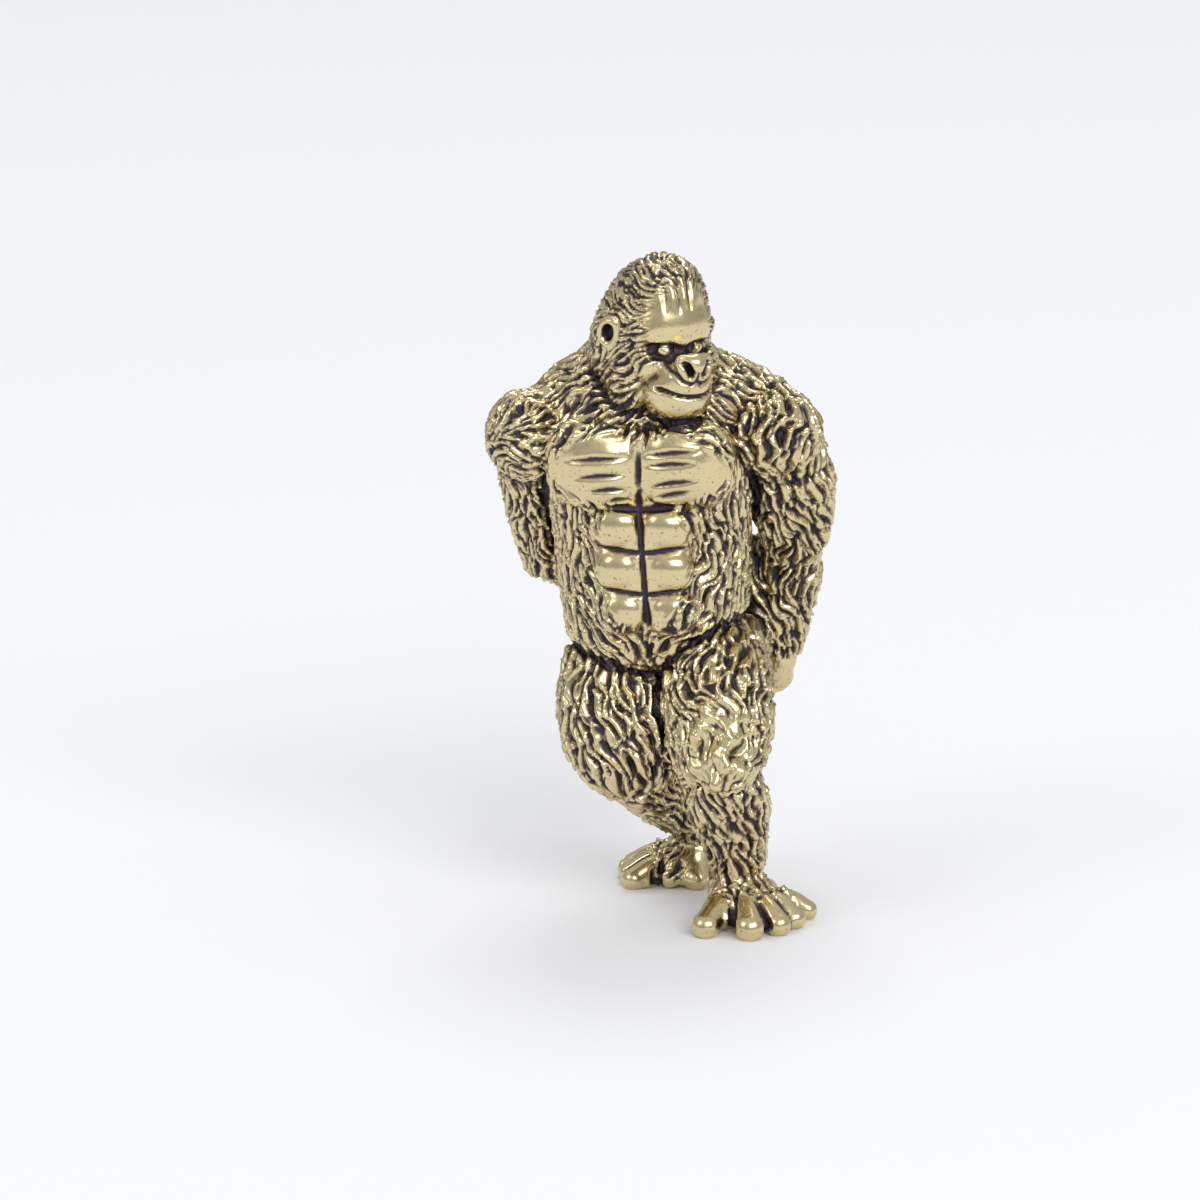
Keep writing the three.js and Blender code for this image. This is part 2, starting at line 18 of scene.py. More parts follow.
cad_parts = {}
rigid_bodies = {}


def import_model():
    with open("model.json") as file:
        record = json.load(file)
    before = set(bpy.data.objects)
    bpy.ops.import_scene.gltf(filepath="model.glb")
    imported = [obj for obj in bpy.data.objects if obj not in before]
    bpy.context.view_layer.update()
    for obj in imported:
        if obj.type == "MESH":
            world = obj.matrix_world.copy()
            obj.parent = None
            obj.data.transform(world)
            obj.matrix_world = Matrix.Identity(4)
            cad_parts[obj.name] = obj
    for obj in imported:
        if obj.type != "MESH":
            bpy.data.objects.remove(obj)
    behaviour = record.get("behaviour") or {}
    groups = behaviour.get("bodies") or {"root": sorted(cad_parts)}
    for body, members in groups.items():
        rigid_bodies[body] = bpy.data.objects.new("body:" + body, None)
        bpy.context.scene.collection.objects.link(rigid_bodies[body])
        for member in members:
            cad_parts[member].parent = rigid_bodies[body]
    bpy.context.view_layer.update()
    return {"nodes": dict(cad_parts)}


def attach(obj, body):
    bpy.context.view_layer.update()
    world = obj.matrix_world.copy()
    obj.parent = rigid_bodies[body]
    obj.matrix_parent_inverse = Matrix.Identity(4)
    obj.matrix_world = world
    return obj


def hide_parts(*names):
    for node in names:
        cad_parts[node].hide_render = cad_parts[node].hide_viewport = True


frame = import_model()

CASTINGS = [name for name in frame["nodes"] if not name.endswith("dowel")]
print(len(CASTINGS), "castings and", len(frame["nodes"]) - len(CASTINGS), "pins")

# %% [markdown]
# ## Landmarks
# A modeller marks the chest, the skull, the feet and the hands first, because the breast turns
# one way and the face the other. An empty object could hold such a mark. Here a mark is a centre
# with three axes, because the same numbers then place new forms and measure old ones. Everything
# is in millimetres while it is modelled, which keeps the numbers short, and metres at the end.

# %% Marks of the chest, the head and the feet
def turned(degrees, axis):
    return np.array(Matrix.Rotation(math.radians(degrees), 3, axis))

CHEST = (np.array((-1.1, 1.21, 39.8)), turned(-7, "Z"))
HEAD = (np.array((-0.8, -0.39, 51.5)), turned(27, "Z") @ turned(6, "X"))
LEFT_FOOT = (np.array((6.9, -5.59, 0)), turned(25, "Z"))
RIGHT_FOOT = (np.array((4.2, 5.81, 0)), turned(-72, "Z"))

def place(mark, left, forward, up):
    """A point given by a mark's own axes."""
    centre, axes = mark
    return centre + axes @ np.array((left, -forward, up))

def seen_from(mark, points):
    """Points as left, forward and up of a mark."""
    centre, axes = mark
    return ((points - centre) @ axes) * (1, -1, 1)

print("chest at", CHEST[0], "and head at", HEAD[0])

# %% Marks of the hands
def hand_mark(wrist, reach, knuckles):
    """A hand's wrist and its axes: across the fingers, out at the knuckles and along the reach."""
    reach = np.array(reach) / np.linalg.norm(reach)
    out = np.array(knuckles) - reach * (reach @ knuckles)
    out /= np.linalg.norm(out)
    return np.array(wrist), np.stack((np.cross(out, reach), out, reach), axis=1)

HANDS = {
    "left_hand": hand_mark((11.3, 8.41, 21.4), (-0.9, 2.2, -2.6), (1, 0.2, 0)),
    "right_hand": hand_mark((1.7, 11.81, 25.0), (4, 0.2, -2.6), (0, 1, 0)),
}
for name, (wrist, axes) in HANDS.items():
    print(name, "starts at", wrist, "and reaches along", axes[:, 2].round(2))

# %% [markdown]
# ## Clay
# On the bench each casting starts as a lump of clay. Here the CAD solids are the lumps, with flat
# facets for sides. They could be rebuilt from primitives, but copies keep their exact places. A
# CAD mesh is loose triangles, so a copy is merged first. Displace then grows it, to close the
# seams between neighbours, and the voxel Remesh modifier gives it an even skin of small squares.

# %% Merged copies
MM = 0.001  # a millimetre in Blender's metres

def choose(piece):
    bpy.ops.object.select_all(action="DESELECT")
    piece.select_set(True)
    bpy.context.view_layer.objects.active = piece

def clay_copy(node):
    """A copy of a CAD node, merged and in millimetres."""
    mesh = frame["nodes"][node].data.copy()
    mesh.materials.clear()
    mesh.transform(Matrix.Scale(1 / MM, 4))
    clay = bpy.data.objects.new(node + "_clay", mesh)
    bpy.context.collection.objects.link(clay)
    choose(clay)
    bpy.ops.object.mode_set(mode="EDIT")
    bpy.ops.mesh.select_all(action="SELECT")
    bpy.ops.mesh.remove_doubles(threshold=0.001)
    bpy.ops.object.mode_set(mode="OBJECT")
    return clay

copies = [clay_copy(name) for name in CASTINGS]
print("points in the merged copies:", sum(len(clay.data.vertices) for clay in copies))

# %% Even skins
SEAM = 0.2  # how far a copy grows
COPY_GRAIN = 0.3

def finish_with(piece, kind, **settings):
    """Adds a modifier and applies it."""
    modifier = piece.modifiers.new(kind.title(), kind)
    for name, value in settings.items():
        setattr(modifier, name, value)
    choose(piece)
    bpy.ops.object.modifier_apply(modifier=modifier.name)

def fuse(clay, grain):
    finish_with(clay, "REMESH", mode="VOXEL", voxel_size=grain, use_smooth_shade=True)

def points_of(piece):
    found = np.empty(len(piece.data.vertices) * 3, np.float32)
    piece.data.vertices.foreach_get("co", found)
    return found.reshape(-1, 3).astype(float)

for clay in copies:
    finish_with(clay, "DISPLACE", strength=SEAM, mid_level=0)
    fuse(clay, COPY_GRAIN)
samples = [points_of(clay) for clay in copies]
print("points in the even skins:", sum(len(spots) for spots in samples))

# %% [markdown]
# ## One rough body
# On the real figure the flesh runs on from neck to shoulder and from trunk to thigh. Metaballs
# would give such soft joins, but not at these exact sizes. So rolls and balls of clay fill the
# hollows, one remesh fuses everything, and the Smooth modifier rubs the facets away.

# %% Rolls of clay
def roll(spine, radii):
    """A roll of clay along a smooth line through some points, with a thickness at each of them."""
    bpy.ops.curve.primitive_bezier_curve_add()
    made = bpy.context.object
    line = made.data.splines[0]
    line.bezier_points.add(len(spine) - len(line.bezier_points))
    for knot, spot, radius in zip(line.bezier_points, spine, radii):
        knot.co = spot
        knot.radius = radius
        knot.handle_left_type = knot.handle_right_type = "AUTO"
    made.data.bevel_depth = 1
    made.data.bevel_resolution = 5
    made.data.use_fill_caps = True
    choose(made)
    bpy.ops.object.convert(target="MESH")
    return bpy.context.object

FILL_ROLLS = {
    "right trapezius": (((-3.0, 3, 47.6), (-7.0, 2.6, 46.6), (-10.6, 2.0, 43.8)), (2.6, 2.7, 2.4)),
    "left trapezius": (((2.0, 3, 47.4), (5.8, 2.8, 46.6), (10.6, 1.8, 44.0)), (2.6, 2.7, 2.6)),
    "inner left thigh": (((3.6, -1.0, 22.0), (3.7, -5.0, 16.8), (4.9, -7.4, 13.6)), (3.3, 3.7, 3.3)),
    "web of the left upper arm": (((8.0, 3.2, 41.0), (8.9, 4.2, 37.2), (9.2, 4.9, 33.7)), (2.4, 2.1, 1.5)),
    "web of the left forearm": (((9.0, 5.8, 31.8), (9.3, 7.0, 27.4), (9.2, 7.4, 22.6)), (1.5, 2.0, 2.0)),
    "nape": (((-4.6, 3.4, 48.0), (-1.2, 4.4, 49.0), (1.6, 3.4, 48.0)), (2.1, 2.6, 2.0)),
}
bulk = [roll(spine, radii) for spine, radii in FILL_ROLLS.values()]
print("rolls that fill hollows:", len(bulk))

# %% Balls of clay
def move_points(piece, points):
    piece.data.vertices.foreach_set("co", points.astype(np.float32).ravel())
    piece.data.update()

def ball(centre, half, axes=np.eye(3), square=1.0):
    """A ball with its own half sizes, squared off where square is below 1."""
    bpy.ops.mesh.primitive_uv_sphere_add(segments=48, ring_count=24, radius=1)
    made = bpy.context.object
    unit = points_of(made)
    shaped = np.sign(unit) * np.abs(unit) ** square * np.array(half)
    move_points(made, shaped @ axes.T + centre)
    return made

FILL_BALLS = {
    "right of the neck": ((-3.4, 0.6, 47.4), (2.9, 3.0, 3.0)),
    "right shoulder": ((-11.5, 0.5, 42.2), (4.0, 4.6, 3.9)),
}
bulk += [ball(centre, half) for centre, half in FILL_BALLS.values()]
print("rolls and balls that fill hollows:", len(bulk))

# %% Fuse and rub the rough body
ROUGH_GRAIN = 0.24
ROUGH_PASSES = 14
SHRINK = 0.7  # share of the grown seam that is taken off again

def press_on(clay, forms):
    choose(clay)
    for form in forms:
        form.select_set(True)
    bpy.ops.object.join()

def rub(clay, passes):
    finish_with(clay, "SMOOTH", factor=0.5, iterations=passes)

body = copies[0]
body.name = "gorilla_clay"
press_on(body, copies[1:])
press_on(body, bulk)
fuse(body, ROUGH_GRAIN)
rub(body, ROUGH_PASSES)
finish_with(body, "DISPLACE", strength=-SEAM * SHRINK, mid_level=0)
print("rough body:", len(body.data.vertices), "points")

# %% [markdown]
# ## Breast and belly
# The figure's breast is two flat pillows, and six blocks of muscle stand on a sheet down its
# belly. They could be sculpted by brush, but then a size couldn't be changed later. They are
# squared balls here, pressed on after the rubbing, which would blunt them.

# %% Breast muscles
BREAST_HALF = np.array((4.15, 2.6, 3.5))
BREAST_APART = 4.0
BREAST_FORWARD = 6.0
BREAST_UP = 0.85
BREAST_TILT = 0.2  # the left one sits higher, the right one lower
BREAST_TAPER = 0.2  # lower towards the armpit
BREAST_BEND = 0.9  # how far the armpit end turns back

def breast_muscle(side):
    """A flat pillow that gets lower towards the armpit."""
    made = ball((0, 0, 0), BREAST_HALF, square=0.75)
    spots = points_of(made)
    outwards = side * spots[:, 0] / BREAST_HALF[0]
    spots[:, 2] *= 1 - BREAST_TAPER * outwards
    spots[:, 1] += BREAST_BEND * outwards.clip(0) ** 2
    middle = place(CHEST, side * BREAST_APART, BREAST_FORWARD, BREAST_UP + BREAST_TILT * side)
    move_points(made, spots @ CHEST[1].T + middle)
    return made

forms = [breast_muscle(-1), breast_muscle(1)]
print("points in a breast muscle:", len(forms[0].data.vertices))

# %% Belly muscles
BREASTBONE = ((0, 5.4, 0.9), (1.6, 2.6, 3.6))
BELLY_SHEET = ((0.5, 5.85, -8.0), (4.1, 2.5, 6.1))
BLOCK_HALF = (2.1, 1.65, 1.9)
BLOCK_FORWARD = 7.05
BLOCK_ROWS = 3
FIRST_BLOCK = -4.3
ROW_STEP = 3.75
ROW_SLANT = 0.3  # each row's middle lies this much farther to the left

for spot, half in (BREASTBONE, BELLY_SHEET):
    forms.append(ball(place(CHEST, *spot), half, CHEST[1], square=0.7))
for row in range(BLOCK_ROWS):
    middle = 0.2 + ROW_SLANT * row
    for side in (-1, 1):
        block = place(CHEST, middle + side * BLOCK_HALF[0], BLOCK_FORWARD, FIRST_BLOCK - ROW_STEP * row)
        forms.append(ball(block, BLOCK_HALF, CHEST[1], square=0.84))
print("forms on the trunk:", len(forms))

# %% [markdown]
# ## Face
# The face is a heavy muzzle with wide nostrils under a straight brow. A subdivided cage could
# hold it, but its loops would have to follow every fold. Overlapping balls and rolls are quicker
# to move about until the face is right, and the remesh joins them. They are placed from the
# skull's mark, so the whole face turns with the head.

# %% Muzzle, jaw and brow
FACE_BALLS = {
    "muzzle": ((0, 5.2, -1.8), (2.4, 2.8, 2.4)),
    "jaw": ((-0.1, 4.9, -3.45), (3.2, 3.3, 2.8)),
    "nose": ((0, 6.4, -0.75), (1.4, 1.0, 0.95)),
    "crown": ((0, 2.2, 3.9), (3.1, 3.35, 3.1)),
    "forehead": ((0, 3.2, 2.4), (3.4, 2.75, 2.4)),
}
BROW = ((-3.3, 3.5, 0.85), (-2.0, 4.95, 1.05), (-0.8, 5.5, 0.85),
        (0.4, 5.55, 1.05), (1.9, 5.0, 0.95), (3.3, 3.5, 0.9))
BROW_RADII = (0.4, 0.46, 0.44, 0.44, 0.46, 0.4)
LOWER_LIP = ((-2.1, 7.0, -3.6), (0, 8.0, -3.75), (2.1, 7.0, -3.6))
LIP_RADII = (0.28, 0.36, 0.28)

def head_ball(spot, half):
    return ball(place(HEAD, *spot), half, HEAD[1])

def head_roll(spine, radii, side=1):
    return roll([place(HEAD, side * left, forward, up) for left, forward, up in spine], radii)

forms += [head_ball(spot, half) for spot, half in FACE_BALLS.values()]
forms.append(head_roll(BROW, BROW_RADII))
forms.append(head_roll(LOWER_LIP, LIP_RADII))
print("forms on trunk and face:", len(forms))

# %% Cheeks, eyes, nostrils and ears
EAR_FORWARD = {-1: 1.1, 1: -0.7}  # of the right and the left ear
EAR_UP = 0.95
EYE, EYE_HALF = (1.6, 4.8, 0.3), (0.66, 0.62, 0.48)
CHEEK_HALF = (1.6, 1.7, 1.8)
EAR_HALF = (0.5, 0.6, 1.0)
NOSTRIL = (0.86, -0.62)  # out and up
NOSTRIL_RADIUS = 0.31
EAR_RADIUS = 0.28
ROUND = np.linspace(0, 2 * math.pi, 11)

def round_nostril(turn, upright, across):
    """A point, out and up, on a slanted oval round a nostril, from two of the oval's arrows."""
    out = NOSTRIL[0] - upright[0] * math.cos(turn) + across[0] * math.sin(turn)
    up = NOSTRIL[1] - upright[1] * math.cos(turn) - across[1] * math.sin(turn)
    return out, up

for side, ear in EAR_FORWARD.items():
    forms.append(head_ball((side * 2.4, 4.1, -1.3), CHEEK_HALF))
    forms.append(head_ball((side * EYE[0], *EYE[1:]), EYE_HALF))
    ring = []
    for turn in ROUND:
        out, up = round_nostril(turn, (0.48, 0.9), (0.58, 0.3))
        ring.append((out, 8.15 - 0.35 * (out - 0.8) - 0.25 * (up + 0.6), up))
    forms.append(head_roll(ring, [NOSTRIL_RADIUS] * len(ROUND), side))
    rim = [(4.85 - 0.5 * math.cos(turn), ear + 0.75 * math.cos(turn), EAR_UP + 1.1 * math.sin(turn))
           for turn in ROUND]
    forms.append(head_roll(rim, [EAR_RADIUS] * len(ROUND), side))
    forms.append(head_ball((side * 4.7, ear - 0.35, EAR_UP), EAR_HALF))
print("forms with both sides of the face:", len(forms))

# %% [markdown]
# ## Toes and fingers
# The feet are flat, with the great toe splayed like a thumb, and the hands are half closed. Digits
# are often extruded from a palm joint by joint. A roll of clay bends more smoothly, and its line
# of points says where each knuckle lies, so all digits are rolls.

# %% Toes
# Each toe: the side and reach of its tip, its radius, and the side and reach of its root.
LEFT_TOES = ((-5.2, 5.4, 1.3, -1.6, 1.6), (-2, 7.7, 1.4, -1.0, 3.0), (0.9, 7.4, 1.2, 0.3, 3.2),
             (3, 6.2, 1.1, 1.5, 2.9), (5.2, 4.2, 1.0, 2.2, 2.2))
RIGHT_TOES = ((-2.9, 3, 1.2, -1, 0.8), (-1, 8.3, 1.1, -0.6, 3.0), (0.9, 7.9, 1.1, 0.6, 3.2),
              (2.5, 7.5, 1.05, 1.7, 3), (4, 6.5, 1.0, 2.3, 2.4))
FEET = ((LEFT_FOOT, 1, LEFT_TOES), (RIGHT_FOOT, -1, RIGHT_TOES))
ROOT_UP, ARCH_UP, BEND_UP = 2.7, 2.3, 1.75
TOE_TAPER = np.array((0.7, 0.85, 0.9, 0.95))

def on_toe(toe, outer, share):
    """A spot, left and forward, some share of the way from a toe's root to its tip."""
    tip_side, tip_reach, radius, root_side, root_reach = toe
    rest = 1 - share
    return outer * (rest * root_side + share * tip_side), rest * root_reach + share * (tip_reach - radius)

for foot, outer, toes in FEET:
    for toe in toes:
        radius, root_side, root_reach = toe[2:]
        root = place(foot, outer * root_side * 0.6, root_reach * 0.4, ROOT_UP)
        arch = place(foot, *on_toe(toe, outer, 0), ARCH_UP)
        bend = place(foot, *on_toe(toe, outer, 0.55), BEND_UP)
        tip = place(foot, *on_toe(toe, outer, 1), radius * 0.72)
        forms.append(roll((root, arch, bend, tip), radius * TOE_TAPER))
        forms.append(ball(tip, (radius, radius, radius * 0.95)))
print("forms with the toes:", len(forms))

# %% Fingers
FINGERS = (-1.72, -0.57, 0.57, 1.72)
FINGER_RADII = (0.6, 0.7, 0.66, 0.6)
for wrist, axes in HANDS.values():
    for side in FINGERS:
        knuckles = ((side * 0.8, 0.5, 1.4), (side, 0.8, 3.5), (side, -0.1, 4.5), (side, -1.9, 4.0))
        forms.append(roll([wrist + axes @ spot for spot in knuckles], FINGER_RADII))
print("forms with the fingers:", len(forms))

# %% [markdown]
# ## One fine skin
# All forms are pressed on and fused once more, with a grain that is fine enough for the fur. The
# real forehead is one smooth slope, where the balls leave steps. A sculptor would rub only there,
# and a vertex group lets the Smooth modifier do the same.

# %% Press on and fuse
FINE_GRAIN = 0.15
press_on(body, forms)
fuse(body, FINE_GRAIN)
rub(body, 3)
print("fine skin:", len(body.data.vertices), "points")

# %% Rub the forehead and flatten the soles
def ramp(values, low, high):
    """0 up to the low value, 1 from the high one on, smooth in between."""
    t = ((values - low) / (high - low)).clip(0, 1)
    return t * t * (3 - 2 * t)

def fade(values, low, high):
    """1 up to the low value, 0 from the high one on, smooth in between."""
    return ramp(-values, -high, -low)

def flatten_soles(clay):
    """Lifts what hangs below the ground onto it and gives all points."""
    spots = points_of(clay)
    spots[:, 2] = spots[:, 2].clip(0)
    move_points(clay, spots)
    return spots

left, forward, up = seen_from(HEAD, points_of(body)).T
soft = ramp(up, 0.9, 1.7) * fade(up, 6.0, 7.2) * fade(np.abs(left), 2.8, 3.6) * ramp(forward, 2.0, 3.2)
forehead = body.vertex_groups.new(name="forehead")
for i in np.flatnonzero(soft > 0.01):
    forehead.add([int(i)], soft[i], "REPLACE")
finish_with(body, "SMOOTH", factor=0.5, iterations=90, vertex_group="forehead")
points = flatten_soles(body)
edges = np.array([e.vertices[:] for e in body.data.edges])
print("rubbed on the forehead:", np.sum(soft > 0.01), "of", len(points), "points")

# %% [markdown]
# ## Which casting is which
# The figure parts at its neck, shoulders, elbows, wrists, hips, knees and ankles. Painting vertex
# groups by hand would mark that. Here each point asks which casting's copy lay nearest, because
# the CAD model already knows. A vote among neighbours then evens the borders.

# %% Owners
VOTES = 8

def tree_of(points):
    tree = KDTree(len(points))
    for i, spot in enumerate(points):
        tree.insert(spot, i)
    tree.balance()
    return tree

def spread(values, passes):
    """Values averaged with their neighbours over the skin."""
    count = np.bincount(edges.ravel(), minlength=len(points))[:, None]
    for _ in range(passes):
        total = np.empty_like(values)
        for axis in range(values.shape[1]):
            column = values[:, axis]
            total[:, axis] = np.bincount(edges[:, 0], column[edges[:, 1]], len(points))
            total[:, axis] += np.bincount(edges[:, 1], column[edges[:, 0]], len(points))
        values = 0.5 * values + 0.5 * total / count
    return values

sample_owner = np.repeat(np.arange(len(CASTINGS)), [len(spots) for spots in samples])
sample_tree = tree_of(np.concatenate(samples))
owner = np.array([sample_owner[sample_tree.find(spot)[1]] for spot in points])
member = (owner[:, None] == np.arange(len(CASTINGS))).astype(float)
owner = spread(member, VOTES).argmax(axis=1)
print({name: int(np.sum(owner == i)) for i, name in enumerate(CASTINGS)})

# %% [markdown]
# ## Lines of breast and belly
# Fine grooves run across the breast, a midline runs down from it, and cuts part the rows of the
# belly. Booleans could cut them, one cutter for each. Seen straight from the front every cut is a
# drawn line, so it is drawn in left and up, and each point near it is pushed in along its normal.

# %% Cutting tools
def belongs(*names):
    return np.isin(owner, [CASTINGS.index(name) for name in names])

def falloff(gap, width):
    """1 on a line, 0 from its width on, smooth in between."""
    return (1 - (gap / width).clip(0, 1) ** 2) ** 2

def line_gap(flat, line):
    """How far points in a plane lie from a drawn line."""
    line = np.array(line, float)
    gap = np.full(len(flat), 1e9)
    for start, end in zip(line, line[1:]):
        run = end - start
        t = ((flat - start) @ run / (run @ run)).clip(0, 1)
        gap = np.minimum(gap, np.linalg.norm(flat - start - t[:, None] * run, axis=1))
    return gap

def groove(flat, line, width, deep):
    """The depth of a cut along a drawn line, which tapers off to both its ends."""
    line = np.array(line, float)
    run = line[-1] - line[0]
    t = ((flat - line[0]) @ run / (run @ run)).clip(0, 1)
    taper = np.sin(math.pi * (0.02 + 0.96 * t)) ** 0.6
    return deep * taper * falloff(line_gap(flat, line), width * taper)

def oval(across, along):
    """1 inside an oval whose two half sizes are already divided out, 0 outside it."""
    return fade(np.hypot(across, along), 0.85, 1.1)

on_torso = belongs("torso")
on_head = belongs("head")
print("points on the trunk:", on_torso.sum(), "and on the head:", on_head.sum())

# %% Breast and belly cuts
STRIATIONS = (((-6.4, 1.7), (-0.9, 2.1)), ((-5.6, 0.2), (-1.0, 0.6)), ((-4.4, -1.0), (-0.7, -0.7)),
              ((-2.9, -2.0), (-0.7, -1.75)), ((0.4, 2.3), (5.4, 2.9)), ((0.6, 1.4), (5.1, 1.85)),
              ((0.8, -0.4), (5.4, 0.3)), ((1.4, -1.5), (4.9, -0.7)))
STRIATION_WIDTH, STRIATION_DEPTH = 0.46, 0.26
MIDLINE = ((0, 5), (0, -2.5), (0.2, -4.3), (0.5, -8), (0.8, -11.8), (0.9, -13.5))
MIDLINE_WIDTH, MIDLINE_DEPTH = 0.44, 0.4
FIRST_CUT = -2.5
ROW_CUT_WIDTH, ROW_CUT_DEPTH = 0.44, 0.34

local = seen_from(CHEST, points)
left, forward, up = local.T
flat = local[:, [0, 2]]
depth = MIDLINE_DEPTH * falloff(line_gap(flat, MIDLINE), MIDLINE_WIDTH)
for start, end in STRIATIONS:
    bulge = ((start[0] + end[0]) / 2, (start[1] + end[1]) / 2 + 0.12)
    depth = np.maximum(depth, groove(flat, (start, bulge, end), STRIATION_WIDTH, STRIATION_DEPTH))
for row in range(BLOCK_ROWS + 1):
    level = FIRST_CUT - ROW_STEP * row
    middle = 0.1 + ROW_SLANT * row
    line = ((middle - 4.7, level + 0.35), (middle, level - 0.1), (middle + 4.9, level + 0.5))
    depth = np.maximum(depth, groove(flat, line, ROW_CUT_WIDTH, ROW_CUT_DEPTH))
breast = np.zeros(len(points))
for side in (-1, 1):
    pillow = oval((left - side * 3.9) / 4.3, (up - 1.0) / (4.1 - 0.25 * np.abs(left)))
    breast = np.maximum(breast, pillow)
belly = oval((left - 0.4) / (4.7 + 0.05 * up), (up + 7.0) / 6.4)
bare = np.maximum(breast, belly) * (ramp(forward, 3.5, 5.5) * on_torso)
depth *= bare
print("bare skin on the trunk:", np.sum(bare > 0.5), "points")

# %% [markdown]
# ## Lines of the face
# Mouth, nostrils, ear holes and the folds of the cheeks are dark cuts on the real face. They are
# drawn from the front of the head in the same way. The eyes lie in soft hollows, and three furrows
# run up the forehead. A hollow is kept apart as a dent, because it has no sharp dark edge.

# %% Mouth, nostrils and ears
LIPS = ((-2.7, -2.7), (-1.4, -3.1), (0, -3.2), (1.2, -3.1), (2.4, -2.8))
MOUTH_WIDTH, MOUTH_DEPTH = 0.28, 0.5
HOLE_WIDTH, HOLE_DEPTH = 0.45, 1.2
WING_WIDTH, WING_DEPTH = 0.34, 0.24
FOLD_WIDTH, FOLD_DEPTH = 0.45, 0.16
EAR_DEPTH = 1.0

local = seen_from(HEAD, points)
left, forward, up = local.T
flat = local[:, [0, 2]]
mouth = falloff(line_gap(flat, LIPS), MOUTH_WIDTH)
depth = np.maximum(depth, MOUTH_DEPTH * mouth * ramp(forward, 4.0, 5.0) * on_head)
ears = np.zeros(len(points))
for side, ear in EAR_FORWARD.items():
    hole = falloff(line_gap(flat, ((side * 1.1, -0.17), (side * 0.64, -1.07))), HOLE_WIDTH)
    depth = np.maximum(depth, HOLE_DEPTH * hole * ramp(forward, 6.4, 7.0) * on_head)
    wing = []
    for turn in np.linspace(-0.3, 1.15, 8) * math.pi:
        out, level = round_nostril(turn, (0.78, 1.35), (0.95, 0.5))
        wing.append((side * max(out, 0.0), level))
    rim_cut = falloff(line_gap(flat, wing), WING_WIDTH) * ramp(forward, 5.2, 6.2) * on_head
    depth = np.maximum(depth, WING_DEPTH * rim_cut)
    line = ((side * 1.9, -0.7), (side * 2.7, -1.9), (side * 3.5, -3.2))
    fold = groove(flat, line, FOLD_WIDTH, FOLD_DEPTH)
    depth = np.maximum(depth, fold * ramp(forward, 2.5, 4.0) * on_head)
    ear_hole = fade(np.hypot((forward - ear) / 0.5, (up - EAR_UP) / 0.85), 0.5, 1)
    depth = np.maximum(depth, EAR_DEPTH * ear_hole * ramp(left * side, 3.6, 4.3) * on_head)
    apart = (local - (side * 4.9, ear, EAR_UP)) / (1.1, 1.15, 1.5)
    ears = np.maximum(ears, fade(np.linalg.norm(apart, axis=1), 0.95, 1.1))
print("deepest cut in the face:", depth[on_head].max().round(2), "mm")

# %% Eye sockets and furrows
SOCKET_DEPTH = 0.5
FURROWS = (-1.55, -0.35, 0.75)
FURROW_DENT, FURROW_DEPTH = 0.3, 0.17

eyeball = np.zeros(len(points))
for side in (-1, 1):
    apart = (local - (side * EYE[0], 5.1, EYE[2])) / (0.75, 0.9, 0.55)
    eyeball = np.maximum(eyeball, fade(np.linalg.norm(apart, axis=1), 0.8, 1.1))
eye_gap = np.hypot((np.abs(left) - 1.55) / 1.7, (up - 0.25) / 0.85)
bridge = np.hypot(left / 1.6, (up - 0.1) / 0.6)
socket = fade(np.minimum(eye_gap, bridge), 0.7, 1.05)
socket = socket * ramp(forward, 2.8, 3.6) * fade(forward, 6.2, 6.9) * on_head
dent = SOCKET_DEPTH * socket * (1 - eyeball)
for spot in FURROWS:
    furrow = groove(flat, ((spot, 7.0), (spot * 0.95, 5.4), (spot, 3.6)), 0.5, 1.0)
    furrow *= ramp(forward, 2.5, 3.5) * on_head
    dent = np.maximum(dent, FURROW_DENT * furrow)
    depth = np.maximum(depth, FURROW_DEPTH * furrow)
face = oval((left + 0.1) / 3.7, (up + 3.0) / 3.6) * ramp(forward, 3.2, 4.2) * on_head
nose = oval(left / 2.4, (up + 0.6) / 1.5) * ramp(forward, 5.0, 6.0) * on_head
brow = fade(np.hypot(left / 3.6, (up - 2.2) / 4.2), 0.75, 1.05) * ramp(forward, 2.0, 3.4) * on_head
bare = np.maximum.reduce([bare, face, nose, brow, ears * on_head])
print("bare skin on the head:", np.sum(bare[on_head] > 0.5), "of", on_head.sum(), "points")

# %% [markdown]
# ## Creases, toes and fingers
# Where trunk and limbs meet, the figure has deep creases. They hold patina, and shade is painted
# into them too, as it is under the tips of the shoulder tufts, where the light hardly reaches. The
# gaps between toes and between fingers hold the patina. A seam isn't a drawn line, so its crease
# is measured on the skin, from the points where one casting's neighbours belong to the other.

# %% Creases between castings
RECESS_WIDTH = 1.6  # of the shade between the trunk and the left arm
CAP_WIDTH, CAP_DEPTH = 0.7, 0.25

def gap_to_seam(first, others, limit=2.5):
    """How far each point lies from where one casting meets others, up to a limit."""
    a = belongs(*first)
    b = belongs(*others)
    ends = edges[(a[edges[:, 0]] & b[edges[:, 1]]) | (b[edges[:, 0]] & a[edges[:, 1]])]
    seam = np.unique(ends)
    tree = tree_of(points[seam])
    gap = np.full(len(points), limit)
    for i in np.flatnonzero(a | b):
        gap[i] = min(limit, tree.find(points[i])[2])
    return gap

x, y, z = points.T
armpit = fade(z, 38.5, 41)
throat = fade(y, -2, 1)
crease = np.zeros(len(points))
